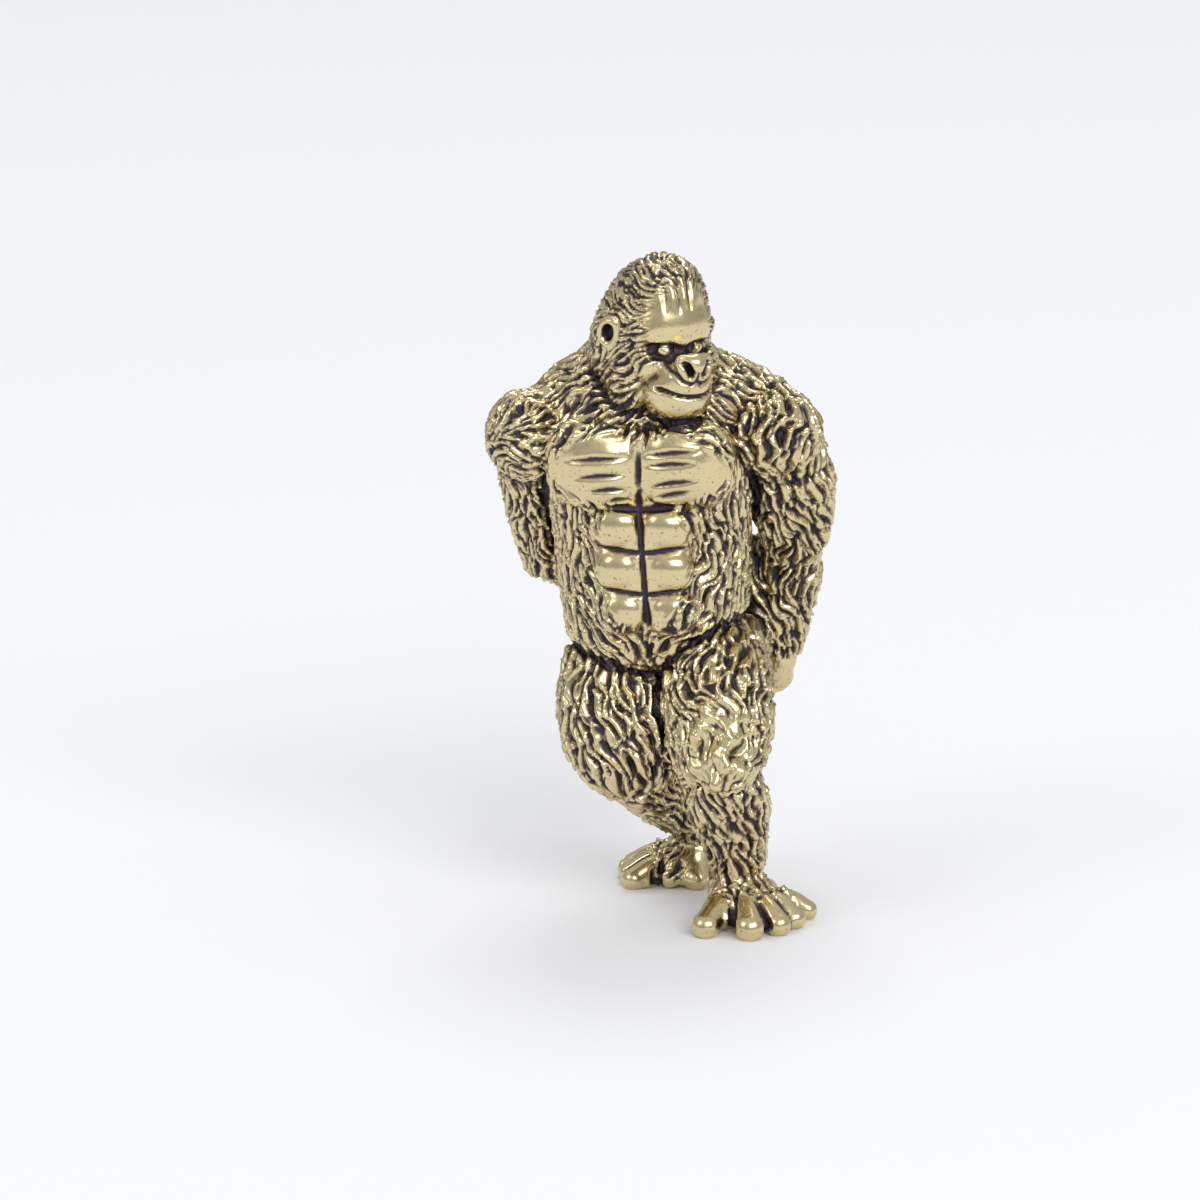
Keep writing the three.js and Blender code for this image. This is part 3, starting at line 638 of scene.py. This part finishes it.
# Each crease: a casting, those it meets, its width, its depth and where it is cut.
for first, others, width, deep, where in (
    (("head",), ("torso",), 0.7, 0.4, throat),
    (("torso",), ("left_thigh", "right_thigh"), 0.5, 0.42, 1),
    (("torso",), ("right_upper_arm",), 0.7, 0.5, armpit),
    (("torso",), ("left_upper_arm",), 0.7, 0.5, 0.3 + 0.7 * armpit),
    (("left_thigh",), ("right_thigh",), 0.6, 0.5, 1),
):
    crease = np.maximum(crease, deep * where * falloff(gap_to_seam(first, others), width))
# Where shade is painted in the recess between the trunk and the left arm.
arm_gap = gap_to_seam(("torso",), ("left_upper_arm", "left_forearm"))
recess = falloff(arm_gap, RECESS_WIDTH) * fade(z, 38, 40)
# Under the tips of the shoulder tufts: carved, and later painted with the shade that falls there.
UNDER_CAPS = {
    "right_upper_arm": ((-16, 39.6), (-11.5, 38.0), (-7.5, 38.8)),
    "left_upper_arm": ((7.5, 39.0), (11.0, 38.2), (16.5, 40.0)),
}
for name, line in UNDER_CAPS.items():
    under = falloff(line_gap(points[:, [0, 2]], line), CAP_WIDTH) * fade(y, 1, 3.5)
    crease = np.maximum(crease, CAP_DEPTH * under * belongs(name))
print("points in creases:", np.sum(crease > 0.1))

# %% Between the toes and the fingers
TOE_GAP_WIDTH = 0.55
FINGER_GAP_WIDTH = 0.34

toe_gap = np.zeros(len(points))
toe_skin = np.zeros(len(points))
for foot, outer, toes in FEET:
    from_above = seen_from(foot, points)[:, :2]
    for pair in zip(toes, toes[1:]):
        tips = [np.array((outer * toe[0], toe[1] - toe[2] * 0.6)) for toe in pair]
        roots = [np.array(on_toe(toe, outer, 0)) for toe in pair]
        line = (sum(tips) / 2 * 1.12, sum(tips) / 2, sum(tips) / 4 + sum(roots) / 4)
        toe_gap = np.maximum(toe_gap, falloff(line_gap(from_above, line), TOE_GAP_WIDTH))
    for toe in toes:
        radius = toe[2]
        pad = line_gap(from_above, (on_toe(toe, outer, 1), on_toe(toe, outer, 0.8)))
        toe_skin = np.maximum(toe_skin, fade(pad, radius, 1.3 * radius))
feet = belongs("left_foot", "right_foot")
toe_gap *= fade(z, 2.2, 3.4) * feet
finger_gap = np.zeros(len(points))
for name, (wrist, axes) in HANDS.items():
    side, rise, far = ((points - wrist) @ axes).T
    for one, two in zip(FINGERS, FINGERS[1:]):
        cut = falloff(np.abs(side - (one + two) / 2), FINGER_GAP_WIDTH)
        cut = cut * ramp(far, 1.8, 2.8) * ramp(rise, -2.6, -1.6)
        finger_gap = np.maximum(finger_gap, cut * belongs(name))
print("points between toes:", np.sum(toe_gap > 0.5), "and between fingers:", np.sum(finger_gap > 0.5))

# %% Carve
TOE_DEPTH = 0.6
FINGER_DEPTH = 0.4

def normals_of(piece):
    found = np.empty(len(piece.data.vertices) * 3, np.float32)
    piece.data.vertex_normals.foreach_get("vector", found)
    return found.reshape(-1, 3).astype(float)

sole_rim = fade(z, 0.7, 1.2)
hands = belongs("left_hand", "right_hand")
bare = np.maximum.reduce([bare, hands, feet * np.maximum(toe_skin, sole_rim)])
depth = np.maximum.reduce([depth, crease, TOE_DEPTH * toe_gap, FINGER_DEPTH * finger_gap])
move_points(body, points - normals_of(body) * np.maximum(depth, dent)[:, None])
print("deepest cut:", depth.max().round(2), "mm")

# %% [markdown]
# ## Combed fur
# The fur on the figure is wavy ridges that run with the lie of the hair, split into strands and
# end in tips. Particle hair can't be cast, and a bump map leaves the outline smooth, so here the
# fur moves the clay. Short wave trains are laid at random on the skin, each turned with the comb.
# Where they overlap their waves add up, and the phase of the sum gives ridges that keep one width
# yet wander and fork, as combed locks do. First every point needs a direction to be combed in.

# %% Which way the fur lies
OUTWARDS, INWARDS = 1.3, 0.9  # how far the fur turns sideways on the shoulders and low on the trunk
TUFT_WAY = (-0.1, -0.2, -1.0)
HEAD_SAG = 0.35
LIMBS = {
    "left_upper_arm": ((9.8, 1.2, 42.7), (12.1, 4.8, 31.7)),
    "right_upper_arm": ((-9.0, 1.2, 44.0), (-9.7, 6.2, 30.0)),
    "left_forearm": ((12.1, 4.8, 31.7), (11.3, 8.4, 21.4)),
    "right_forearm": ((-9.7, 6.2, 30.0), (1.7, 11.8, 25.0)),
    "left_thigh": ((4.5, 0.8, 24.0), (5.5, -8.6, 14.2)),
    "right_thigh": ((-4.2, 1.2, 22.8), (-2.2, -3.4, 12.2)),
    "left_shin": ((5.5, -8.6, 14.2), (6.9, -5.6, 4.6)),
    "right_shin": ((-2.2, -3.4, 12.2), (4.2, 5.8, 4.6)),
}

way = np.tile((0.0, 0.0, -1.0), (len(points), 1))
for name, (start, end) in LIMBS.items():
    way[belongs(name)] = (np.array(end) - start) / np.linalg.norm(np.array(end) - start)
sideways = np.tanh((x + 1) / 2)
shoulder = ramp(z, 41, 45) * on_torso
low_front = fade(z, 30, 37) * fade(y, -2, 3) * on_torso
way[:, 0] += sideways * (OUTWARDS * shoulder - INWARDS * low_front)
way[:, 0] -= OUTWARDS * (belongs("right_upper_arm") * ramp(z, 36, 41))
tuft = belongs("left_upper_arm") * ramp(z, 37, 40)
way = np.where(tuft[:, None] > 0.5, TUFT_WAY, way)
from_face = points - place(HEAD, 0, 6.5, 0)
way[on_head] = (from_face / np.linalg.norm(from_face, axis=1, keepdims=True) - (0, 0, HEAD_SAG))[on_head]
print(len(LIMBS), "limbs are combed along their length, the rest from face, shoulders and trunk")

# %% Comb directions
SWIRL = math.radians(26)
WAVES, WAVE_SUM = 6, 2.4  # so many waves, and what their sum mostly stays below

def waviness(points, size, seed):
    """A smooth random value between about -1 and 1, with features of a given size."""
    local = np.random.default_rng(seed)
    total = np.zeros(len(points))
    for _ in range(WAVES):
        way = local.normal(size=3)
        way *= 2 * math.pi / size / np.linalg.norm(way)
        total += np.sin(points @ way + local.uniform(0, 2 * math.pi))
    return total / WAVE_SUM

normals = normals_of(body)
way = spread(way, 12)
way -= normals * np.sum(way * normals, axis=1, keepdims=True)
laid = way / np.maximum(np.linalg.norm(way, axis=1, keepdims=True), 1e-6)
drift = SWIRL * waviness(points, 7, 3)[:, None]
comb = laid * np.cos(drift) + np.cross(normals, laid) * np.sin(drift)
print("share combed downwards:", np.mean(comb[:, 2] < 0).round(2))

# %% Lock sizes
LOCK_WIDTH = 0.85
LOCK_WIDTHS = {"right_upper_arm": 0.72, "left_upper_arm": 0.9, "left_thigh": 0.92, "right_thigh": 0.92}
CROWN_WIDTH, THROAT_EXTRA = 0.58, 0.26
TUFT_WIDTH = 1.1
LOCK_HEIGHT = 0.6  # as a share of the width
KNEE, KNEE_HALF = (5.0, -10.0, 17.2), (4.4, 5.5, 5.4)
KNEE_WORN = 0.5  # share of the fur that is worn off the knee

width = np.full(len(points), LOCK_WIDTH)
width[on_head] = CROWN_WIDTH + THROAT_EXTRA * fade(z[on_head], 47, 51)
for name, size in LOCK_WIDTHS.items():
    width[belongs(name)] = size
width[tuft > 0.5] = TUFT_WIDTH
width = spread(width[:, None], 10)[:, 0]
height = LOCK_HEIGHT * width
knee = fade(np.linalg.norm((points - KNEE) / KNEE_HALF, axis=1), 0.5, 1)
furry = spread(1 - bare[:, None], 2)[:, 0] * (1 - KNEE_WORN * knee)
print("locks are", width.min().round(2), "to", width.max().round(2), "mm wide")

# %% Wave trains
POINT_AREA = FINE_GRAIN ** 2  # square millimetres of skin to a point
SIZE_RANGE = (0.75, 1.3)
SWAY = 0.15  # radians
WARP = 0.22
rng = np.random.default_rng(7)
points = points_of(body)
tree = tree_of(points)
aside_comb = np.cross(normals, comb)
warped = points + WARP * np.stack([waviness(points, 2.6, seed) for seed in (11, 12, 13)], axis=1)
free = np.flatnonzero(furry > 0.1)

def wave_trains(sizes, area, long, wide, lengthways):
    """Lays short wave trains on the skin, one to each area; gives their phase, -1 to 1, and strength."""
    cosine = np.zeros(len(points))
    sine = np.zeros(len(points))
    for root in rng.choice(free, int(len(free) * POINT_AREA / area), replace=False):
        size = sizes[root] * rng.uniform(*SIZE_RANGE)
        sway = rng.normal(0, SWAY)
        ahead = comb[root] * math.cos(sway) + aside_comb[root] * math.sin(sway)
        aside = aside_comb[root] * math.cos(sway) - comb[root] * math.sin(sway)
        reach = 1.4 * size * max(long, wide)
        ids = np.array([found[1] for found in tree.find_range(points[root], reach)])
        away = warped[ids] - warped[root]
        along = away @ ahead / size
        across = away @ aside / size
        weight = np.exp(-2 * ((along / long) ** 2 + (across / wide) ** 2))
        weight *= (normals[ids] @ normals[root]).clip(0)
        phase = 2 * math.pi * (along / 3 if lengthways else across) + rng.uniform(0, 2 * math.pi)
        cosine[ids] += weight * np.cos(phase)
        sine[ids] += weight * np.sin(phase)
    return np.arctan2(sine, cosine) / math.pi, ramp(np.hypot(sine, cosine), 0.1, 0.6)

print("points that carry fur:", len(free))

# %% Ridges of fur
STRAND_SIZE = 0.55  # a strand's width as a share of its lock's
STRAND_RISE = 0.42
TIP_RISE = 0.4
KNEE_LUMPS = 0.3

def ridges(sizes, area, long):
    """Round ridges with narrow grooves: 0.5 along a crest, -0.5 in a groove."""
    phase, clear = wave_trains(sizes, area, long, wide=1.0, lengthways=False)
    return (0.5 - np.abs(phase) ** 1.5) * clear

locks = ridges(width, area=0.28, long=1.6)
strands = ridges(STRAND_SIZE * width, area=0.11, long=1.8)
phase, clear = wave_trains(width, area=0.3, long=2.0, wide=0.6, lengthways=True)
tips = 0.5 * phase * clear
gouge = np.where(locks < 0, (1.0 + 0.5 * waviness(points, 2.0, 21)).clip(0.4, 1.5), 1)
rise = locks * gouge + STRAND_RISE * strands + TIP_RISE * tips
lumps = KNEE_LUMPS * knee * waviness(points, 2.4, 31)
move_points(body, points + normals * (height * furry * rise + lumps)[:, None])
rub(body, 1)
print("highest lock:", (height * furry * rise).max().round(2), "mm")

# %% [markdown]
# ## Rubbed bright, with painted shade
# The figure is dark in its hollows and bright on its high spots, as if it had been darkened all
# over and then rubbed. A shader can guess high spots from the mesh, but not tell fur from a
# crease. So every point gets a value here, from 0 for patina and painted shade to 1 for bare
# metal. It comes from the ridges of the fur, from how far the point stands out of the skin around
# it, and from the cuts. Shade is painted into it too, in the eye sockets under the brow, in the
# creases and under the shoulder tufts, and in the recess between the trunk and the left arm.

# %% Rubbed bright, with painted shade
SUNK_DARKENS = 0.9
PROUD_BRIGHTENS = 0.35
KNEE_BRIGHTENS = 0.7
# share of painted shade in the eye sockets under the brow, laid over their patina
SOCKET_DARKENS = 0.72
# share of painted shade in the creases and under the shoulder tufts, laid over their patina
CREASE_DARKENS = 0.8
# share of painted shade in the recess between the trunk and the left arm
RECESS_DARKENS = 0.9
MOTTLE = 0.16

points = points_of(body)
normals = normals_of(body)
sunk = np.sum((spread(points, 24) - points) * normals, axis=1)
proud = -sunk
tone = locks * gouge + 0.6 * strands + 0.6 * tips + MOTTLE * waviness(points, 1.3, 41)
fur = ramp(tone, -0.26, 0.42)
bright = fur * furry + (1 - furry) * (1 - ramp(depth, 0.1, 0.25))
bright = bright * (1 - SUNK_DARKENS * ramp(sunk, 0.02, 0.16)) + PROUD_BRIGHTENS * ramp(proud, 0.03, 0.2)
bright += KNEE_BRIGHTENS * knee * ramp(proud, -0.1, 0.04)
# Painted shade in the eye sockets under the brow, over their patina; the eyeballs are left out.
bright *= 1 - SOCKET_DARKENS * socket * (1 - eyeball)
# Painted shade in the creases under the chin, in the groin, the armpits, between the thighs and under the
# tufts, over their patina.
bright *= 1 - CREASE_DARKENS * ramp(crease, 0.08, 0.35)
# Painted shade in the recess between the trunk and the left arm.
bright *= 1 - RECESS_DARKENS * recess
print("share rubbed bright:", np.mean(bright > 0.5).round(2))

# %% [markdown]
# ## Cast brass, antiqued
# The metal is yellow brass with a cast skin. Patina leaves a dull purplish brown in the hollows,
# and rubbing leaves pale, smooth metal that catches the lamps. The same dark end is painted on as
# shade in the eye sockets, the creases and the recess by the left arm. An image texture could hold
# all of it, but the value on each point already says which is where. Noise breaks its edge, as a
# cloth does, and leaves dark pits where the casting has pores.

# %% How far the brass is rubbed, and where shade is painted
GRAIN = 0.4  # mm; a cast skin is finer than a pixel here, so it is drawn this coarse to show
PITS = 0.28  # mm; drawn as coarse as they need to be to show

def node(tree, kind, links=(), values=(), **settings):
    """Adds a node with its settings, the values of some sockets and the links into others."""
    made = tree.nodes.new(kind)
    for name, value in settings.items():
        setattr(made, name, value)
    for socket_name, value in dict(values).items():
        made.inputs[socket_name].default_value = value
    for socket_name, source in dict(links).items():
        tree.links.new(source, made.inputs[socket_name])
    return made

brass = bpy.data.materials.new("cast brass, antiqued")
brass.use_nodes = True
tree = brass.node_tree
tree.nodes.clear()
mark = node(tree, "ShaderNodeAttribute", attribute_name="bright")
spot = node(tree, "ShaderNodeTexCoord").outputs["Object"]
grain = node(tree, "ShaderNodeTexNoise", {"Vector": spot}, {"Scale": 1 / MM / GRAIN, "Detail": 3.0})
wear = node(tree, "ShaderNodeMath", {0: grain.outputs["Fac"]}, {1: 0.5, 2: -0.25}, operation="MULTIPLY_ADD")
# Rubbed metal and painted shade from the bright value, with noise on their edge.
worn_and_shaded = node(tree, "ShaderNodeMath", {0: mark.outputs["Fac"], 1: wear.outputs[0]}, operation="ADD")
dots = node(tree, "ShaderNodeTexNoise", {"Vector": spot}, {"Scale": 1 / MM / PITS, "Detail": 2.0})
pits = node(tree, "ShaderNodeMapRange", {"Value": dots.outputs["Fac"]},
            {"From Min": 0.6, "From Max": 0.72, "To Max": 0.5})
shown = node(tree, "ShaderNodeMath", {0: worn_and_shaded.outputs[0], 1: pits.outputs["Result"]},
             operation="SUBTRACT", use_clamp=True)
print("nodes that say how far it is rubbed:", len(tree.nodes))

# %% Colour and gloss of the brass
# Low values are the patina, and also the painted shade in the sockets, the creases and the recess by the
# left arm.
PATINA_AND_SHADE, HALF_RUBBED, RUBBED = (0.1, "#483F47"), (0.5, "#8D7F68"), (0.9, "#DBCB9F")
DULL, POLISHED = 0.55, 0.21  # roughness of the patina and of the rubbed metal

def linear(hex_colour):
    parts = [int(hex_colour[i:i + 2], 16) / 255 for i in (1, 3, 5)]
    return (*[c / 12.92 if c <= 0.04045 else ((c + 0.055) / 1.055) ** 2.4 for c in parts], 1)

colour = node(tree, "ShaderNodeValToRGB", {"Fac": shown.outputs[0]})
stops = colour.color_ramp.elements
stops.new(HALF_RUBBED[0])
for stop, (position, tone_hex) in zip(stops, (PATINA_AND_SHADE, HALF_RUBBED, RUBBED)):
    stop.position = position
    stop.color = linear(tone_hex)
gloss = node(tree, "ShaderNodeMapRange", {"Value": shown.outputs[0]}, {"To Min": DULL, "To Max": POLISHED})
bump = node(tree, "ShaderNodeBump", {"Height": grain.outputs["Fac"]},
            {"Strength": 0.15, "Distance": 0.05 * MM})
skin = node(tree, "ShaderNodeBsdfPrincipled",
            {"Base Color": colour.outputs["Color"], "Roughness": gloss.outputs["Result"],
             "Normal": bump.outputs["Normal"]}, {"Metallic": 1.0})
node(tree, "ShaderNodeOutputMaterial", {"Surface": skin.outputs[0]})
print(brass.name, "has", len(tree.nodes), "nodes")

# %% [markdown]
# ## Drawn brass, bright
# The pins are brass rod, drawn through a die and left bright, so they look yellower and more even
# than the castings. They lie hidden in their sockets, so one noise in the gloss is enough: it
# stands for the faint marks of the die.

# %% Drawn brass of the pins
DIE_MARKS = 0.2  # mm
drawn = bpy.data.materials.new("drawn brass, bright")
drawn.use_nodes = True
tree = drawn.node_tree
tree.nodes.clear()
spot = node(tree, "ShaderNodeTexCoord").outputs["Object"]
marks = node(tree, "ShaderNodeTexNoise", {"Vector": spot}, {"Scale": 1 / MM / DIE_MARKS, "Detail": 2.0})
gloss = node(tree, "ShaderNodeMapRange", {"Value": marks.outputs["Fac"]}, {"To Min": 0.2, "To Max": 0.4})
rod = node(tree, "ShaderNodeBsdfPrincipled", {"Roughness": gloss.outputs["Result"]},
           {"Base Color": linear("#D9C27E"), "Metallic": 1.0})
node(tree, "ShaderNodeOutputMaterial", {"Surface": rod.outputs[0]})
pins = [pin for name, pin in frame["nodes"].items() if name not in CASTINGS]
for pin in pins:
    pin.data.materials.clear()
    pin.data.materials.append(drawn)
print(len(pins), "pins of", drawn.name)

# %% [markdown]
# ## Parting into castings
# Each casting has to be a closed piece of its own again, though no seam shows on the figure.
# Boolean cuts through the fur could do that, but can leave slivers. So each face goes whole to one
# casting, and a fan of faces closes every seam inside the figure. The pieces keep the normals of
# the whole skin, so the light runs on across the seams.

# %% Share out the faces
points = flatten_soles(body)
normals = normals_of(body)
quads = np.empty(len(body.data.loops), np.int32)
body.data.loops.foreach_get("vertex_index", quads)
quads = quads.reshape(-1, 4)
quad_owner = np.sort(owner[quads], axis=1)[:, 1]

def sides_of(faces):
    """The four sides of every face, from corner to corner."""
    return np.concatenate([faces[:, [k, (k + 1) % 4]] for k in range(4)])

sides = np.sort(sides_of(quads), axis=1)
beside = (np.lexsort(sides.T) % len(quads)).reshape(-1, 2)
beside = np.concatenate((beside, beside[:, ::-1]))
print(len(quads), "faces with", len(beside) // 2, "sides between them")

# %% Give stray patches to the casting around them
def patches(quad_owner):
    """The number of the patch that each face lies in: faces of one casting that hang together."""
    same = beside[quad_owner[beside[:, 0]] == quad_owner[beside[:, 1]]]
    patch = np.arange(len(quads))
    while True:
        joined = patch.copy()
        np.minimum.at(joined, same[:, 0], patch[same[:, 1]])
        joined = joined[joined]
        if np.array_equal(joined, patch):
            return patch
        patch = joined

patch = patches(quad_owner)
stray = np.zeros(len(quads), bool)
for index in range(len(CASTINGS)):
    mine = quad_owner == index
    stray[mine] = patch[mine] != np.bincount(patch[mine]).argmax()
print("faces given to the casting around them:", stray.sum())
while stray.any():
    rim = beside[stray[beside[:, 0]] & ~stray[beside[:, 1]]]
    quad_owner[rim[:, 0]] = quad_owner[rim[:, 1]]
    stray[rim[:, 0]] = False

# %% Find the seams
def open_sides_of(faces):
    """The sides that only one of a casting's faces has."""
    sides = sides_of(faces)
    _, first, count = np.unique(np.sort(sides, axis=1), axis=0, return_index=True, return_counts=True)
    return sides[first[count == 1]]

def seam_loops(ends):
    """Groups the open sides of a casting into separate seams; also gives each point's seam."""
    seam_of = {}
    for a, b in ends:
        one, two = seam_of.setdefault(a, [a]), seam_of.setdefault(b, [b])
        if one is not two:
            if len(one) < len(two):
                one, two = two, one
            one.extend(two)
            for end in two:
                seam_of[end] = one
    return {id(seam): seam for seam in seam_of.values()}.values(), seam_of

faces_of = {name: quads[quad_owner == index] for index, name in enumerate(CASTINGS)}
open_sides_at = {name: open_sides_of(faces) for name, faces in faces_of.items()}
seams_at = {name: seam_loops([tuple(side) for side in ends]) for name, ends in open_sides_at.items()}
print({name: len(seams) for name, (seams, seam_of) in seams_at.items()})

# %% Close and hand over each casting
def casting_mesh(name):
    """A closed mesh in metres of one casting's faces, with a fan over each seam."""
    faces = faces_of[name]
    open_sides = open_sides_at[name]
    seams, seam_of = seams_at[name]
    used, renumbered = np.unique(faces, return_inverse=True)
    new_index = {old: i for i, old in enumerate(used)}
    # Each point keeps its value of rubbed metal, patina and painted shade.
    spots, turns, rubbed_and_shaded = list(points[used]), list(normals[used]), list(bright[used])
    middle_of = {}
    for seam in seams:
        middle_of[id(seam)] = len(spots)
        spots.append(points[seam].mean(axis=0))
        turns.append(np.array((0, 0, 1.0)))
        rubbed_and_shaded.append(0.0)
    fans = [(new_index[b], new_index[a], middle_of[id(seam_of[a])]) for a, b in open_sides]
    mesh = bpy.data.meshes.new(name + "_casting")
    skin_faces = [tuple(face) for face in renumbered.reshape(-1, 4).tolist()]
    mesh.from_pydata([tuple(MM * spot) for spot in spots], [], skin_faces + fans)
    mesh.attributes.new("bright", "FLOAT", "POINT").data.foreach_set("value", np.array(rubbed_and_shaded, np.float32))
    mesh.materials.append(brass)
    mesh.shade_smooth()
    mesh.normals_split_custom_set_from_vertices([tuple(turn) for turn in turns])
    print(name, "has", 2 * len(faces) + len(fans), "triangles")
    return mesh

for name in CASTINGS:
    part = bpy.data.objects.new(name + "_casting", casting_mesh(name))
    bpy.context.collection.objects.link(part)
    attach(part, "root")
    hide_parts(name)
bpy.data.objects.remove(body)

# %% [markdown]
# ## Studio
# The figure stands on white paper in soft light, mostly from the right of the picture. A single
# lamp would leave metal black where nothing bright is mirrored, so a pale dome fills in, and three
# large softboxes give the broad glints. The camera stands a little above the figure. Its focal length
# is worked out from how many pixels of the picture a millimetre of the figure fills.

# %% Floor
bpy.ops.mesh.primitive_plane_add(size=6)
floor = bpy.context.object
floor.name = "floor"
paper = bpy.data.materials.new("white paper, matt")
paper.use_nodes = True
sheet = paper.node_tree.nodes["Principled BSDF"]
sheet.inputs["Base Color"].default_value = linear("#F6F7FB")  # a cool white, without any glint
sheet.inputs["Roughness"].default_value = 0.9
floor.data.materials.append(paper)
print("floor of", paper.name)

# %% Light
DOME_LOW, DOME_HIGH = 0.42, 0.64  # strength at the horizon and overhead
MIDDLE = Vector((0, 0, 0.03))  # metres; what the softboxes aim at
# Each softbox: its place, width and height in metres, and its power in watts.
SOFTBOXES = {
    "softbox front right": ((0.75, -1.5, 1.2), 1.7, 0.9, 20),
    "softbox above": ((0.1, 1.3, 2.2), 1.0, 1.0, 13),
    "softbox left": ((-1.4, -0.8, 1.2), 0.9, 0.9, 4.5),
}
world = bpy.data.worlds.new("studio dome")
bpy.context.scene.world = world
world.use_nodes = True
tree = world.node_tree
heading = node(tree, "ShaderNodeTexCoord")
parts = node(tree, "ShaderNodeSeparateXYZ", {"Vector": heading.outputs["Generated"]})
dome = node(tree, "ShaderNodeMapRange", {"Value": parts.outputs["Z"]},
            {"To Min": DOME_LOW, "To Max": DOME_HIGH})
sky = tree.nodes["Background"]
sky.inputs["Color"].default_value = (1, 1, 1, 1)
tree.links.new(dome.outputs["Result"], sky.inputs["Strength"])
for name, (spot, wide, tall, power) in SOFTBOXES.items():
    lamp = bpy.data.lights.new(name, "AREA")
    lamp.shape = "RECTANGLE"
    lamp.size = wide
    lamp.size_y = tall
    lamp.energy = power
    held = bpy.data.objects.new(name, lamp)
    held.location = spot
    held.rotation_euler = (MIDDLE - Vector(spot)).to_track_quat("-Z", "Y").to_euler()
    bpy.context.collection.objects.link(held)
print(len(SOFTBOXES), "softboxes under a dome")

# %% Camera
TILT = math.radians(14)
DISTANCE = 0.42  # metres
AIM = Vector((-0.00536, -0.00139, 0.0279))  # metres; what lies in the middle of the picture
PICTURE_PIXELS = 1200
PIXELS_PER_MM = 11.3
back = Vector((0, -math.cos(TILT), math.sin(TILT)))
eye = bpy.data.cameras.new("camera")
eye.sensor_width = 36
eye.lens = PIXELS_PER_MM * (DISTANCE / MM) / PICTURE_PIXELS * eye.sensor_width
camera = bpy.data.objects.new("camera", eye)
camera.location = AIM + DISTANCE * back
camera.rotation_euler = (-back).to_track_quat("-Z", "Y").to_euler()
bpy.context.collection.objects.link(camera)
bpy.context.scene.camera = camera
bpy.context.scene.view_settings.view_transform = "Standard"
print("focal length:", round(eye.lens, 1), "mm")
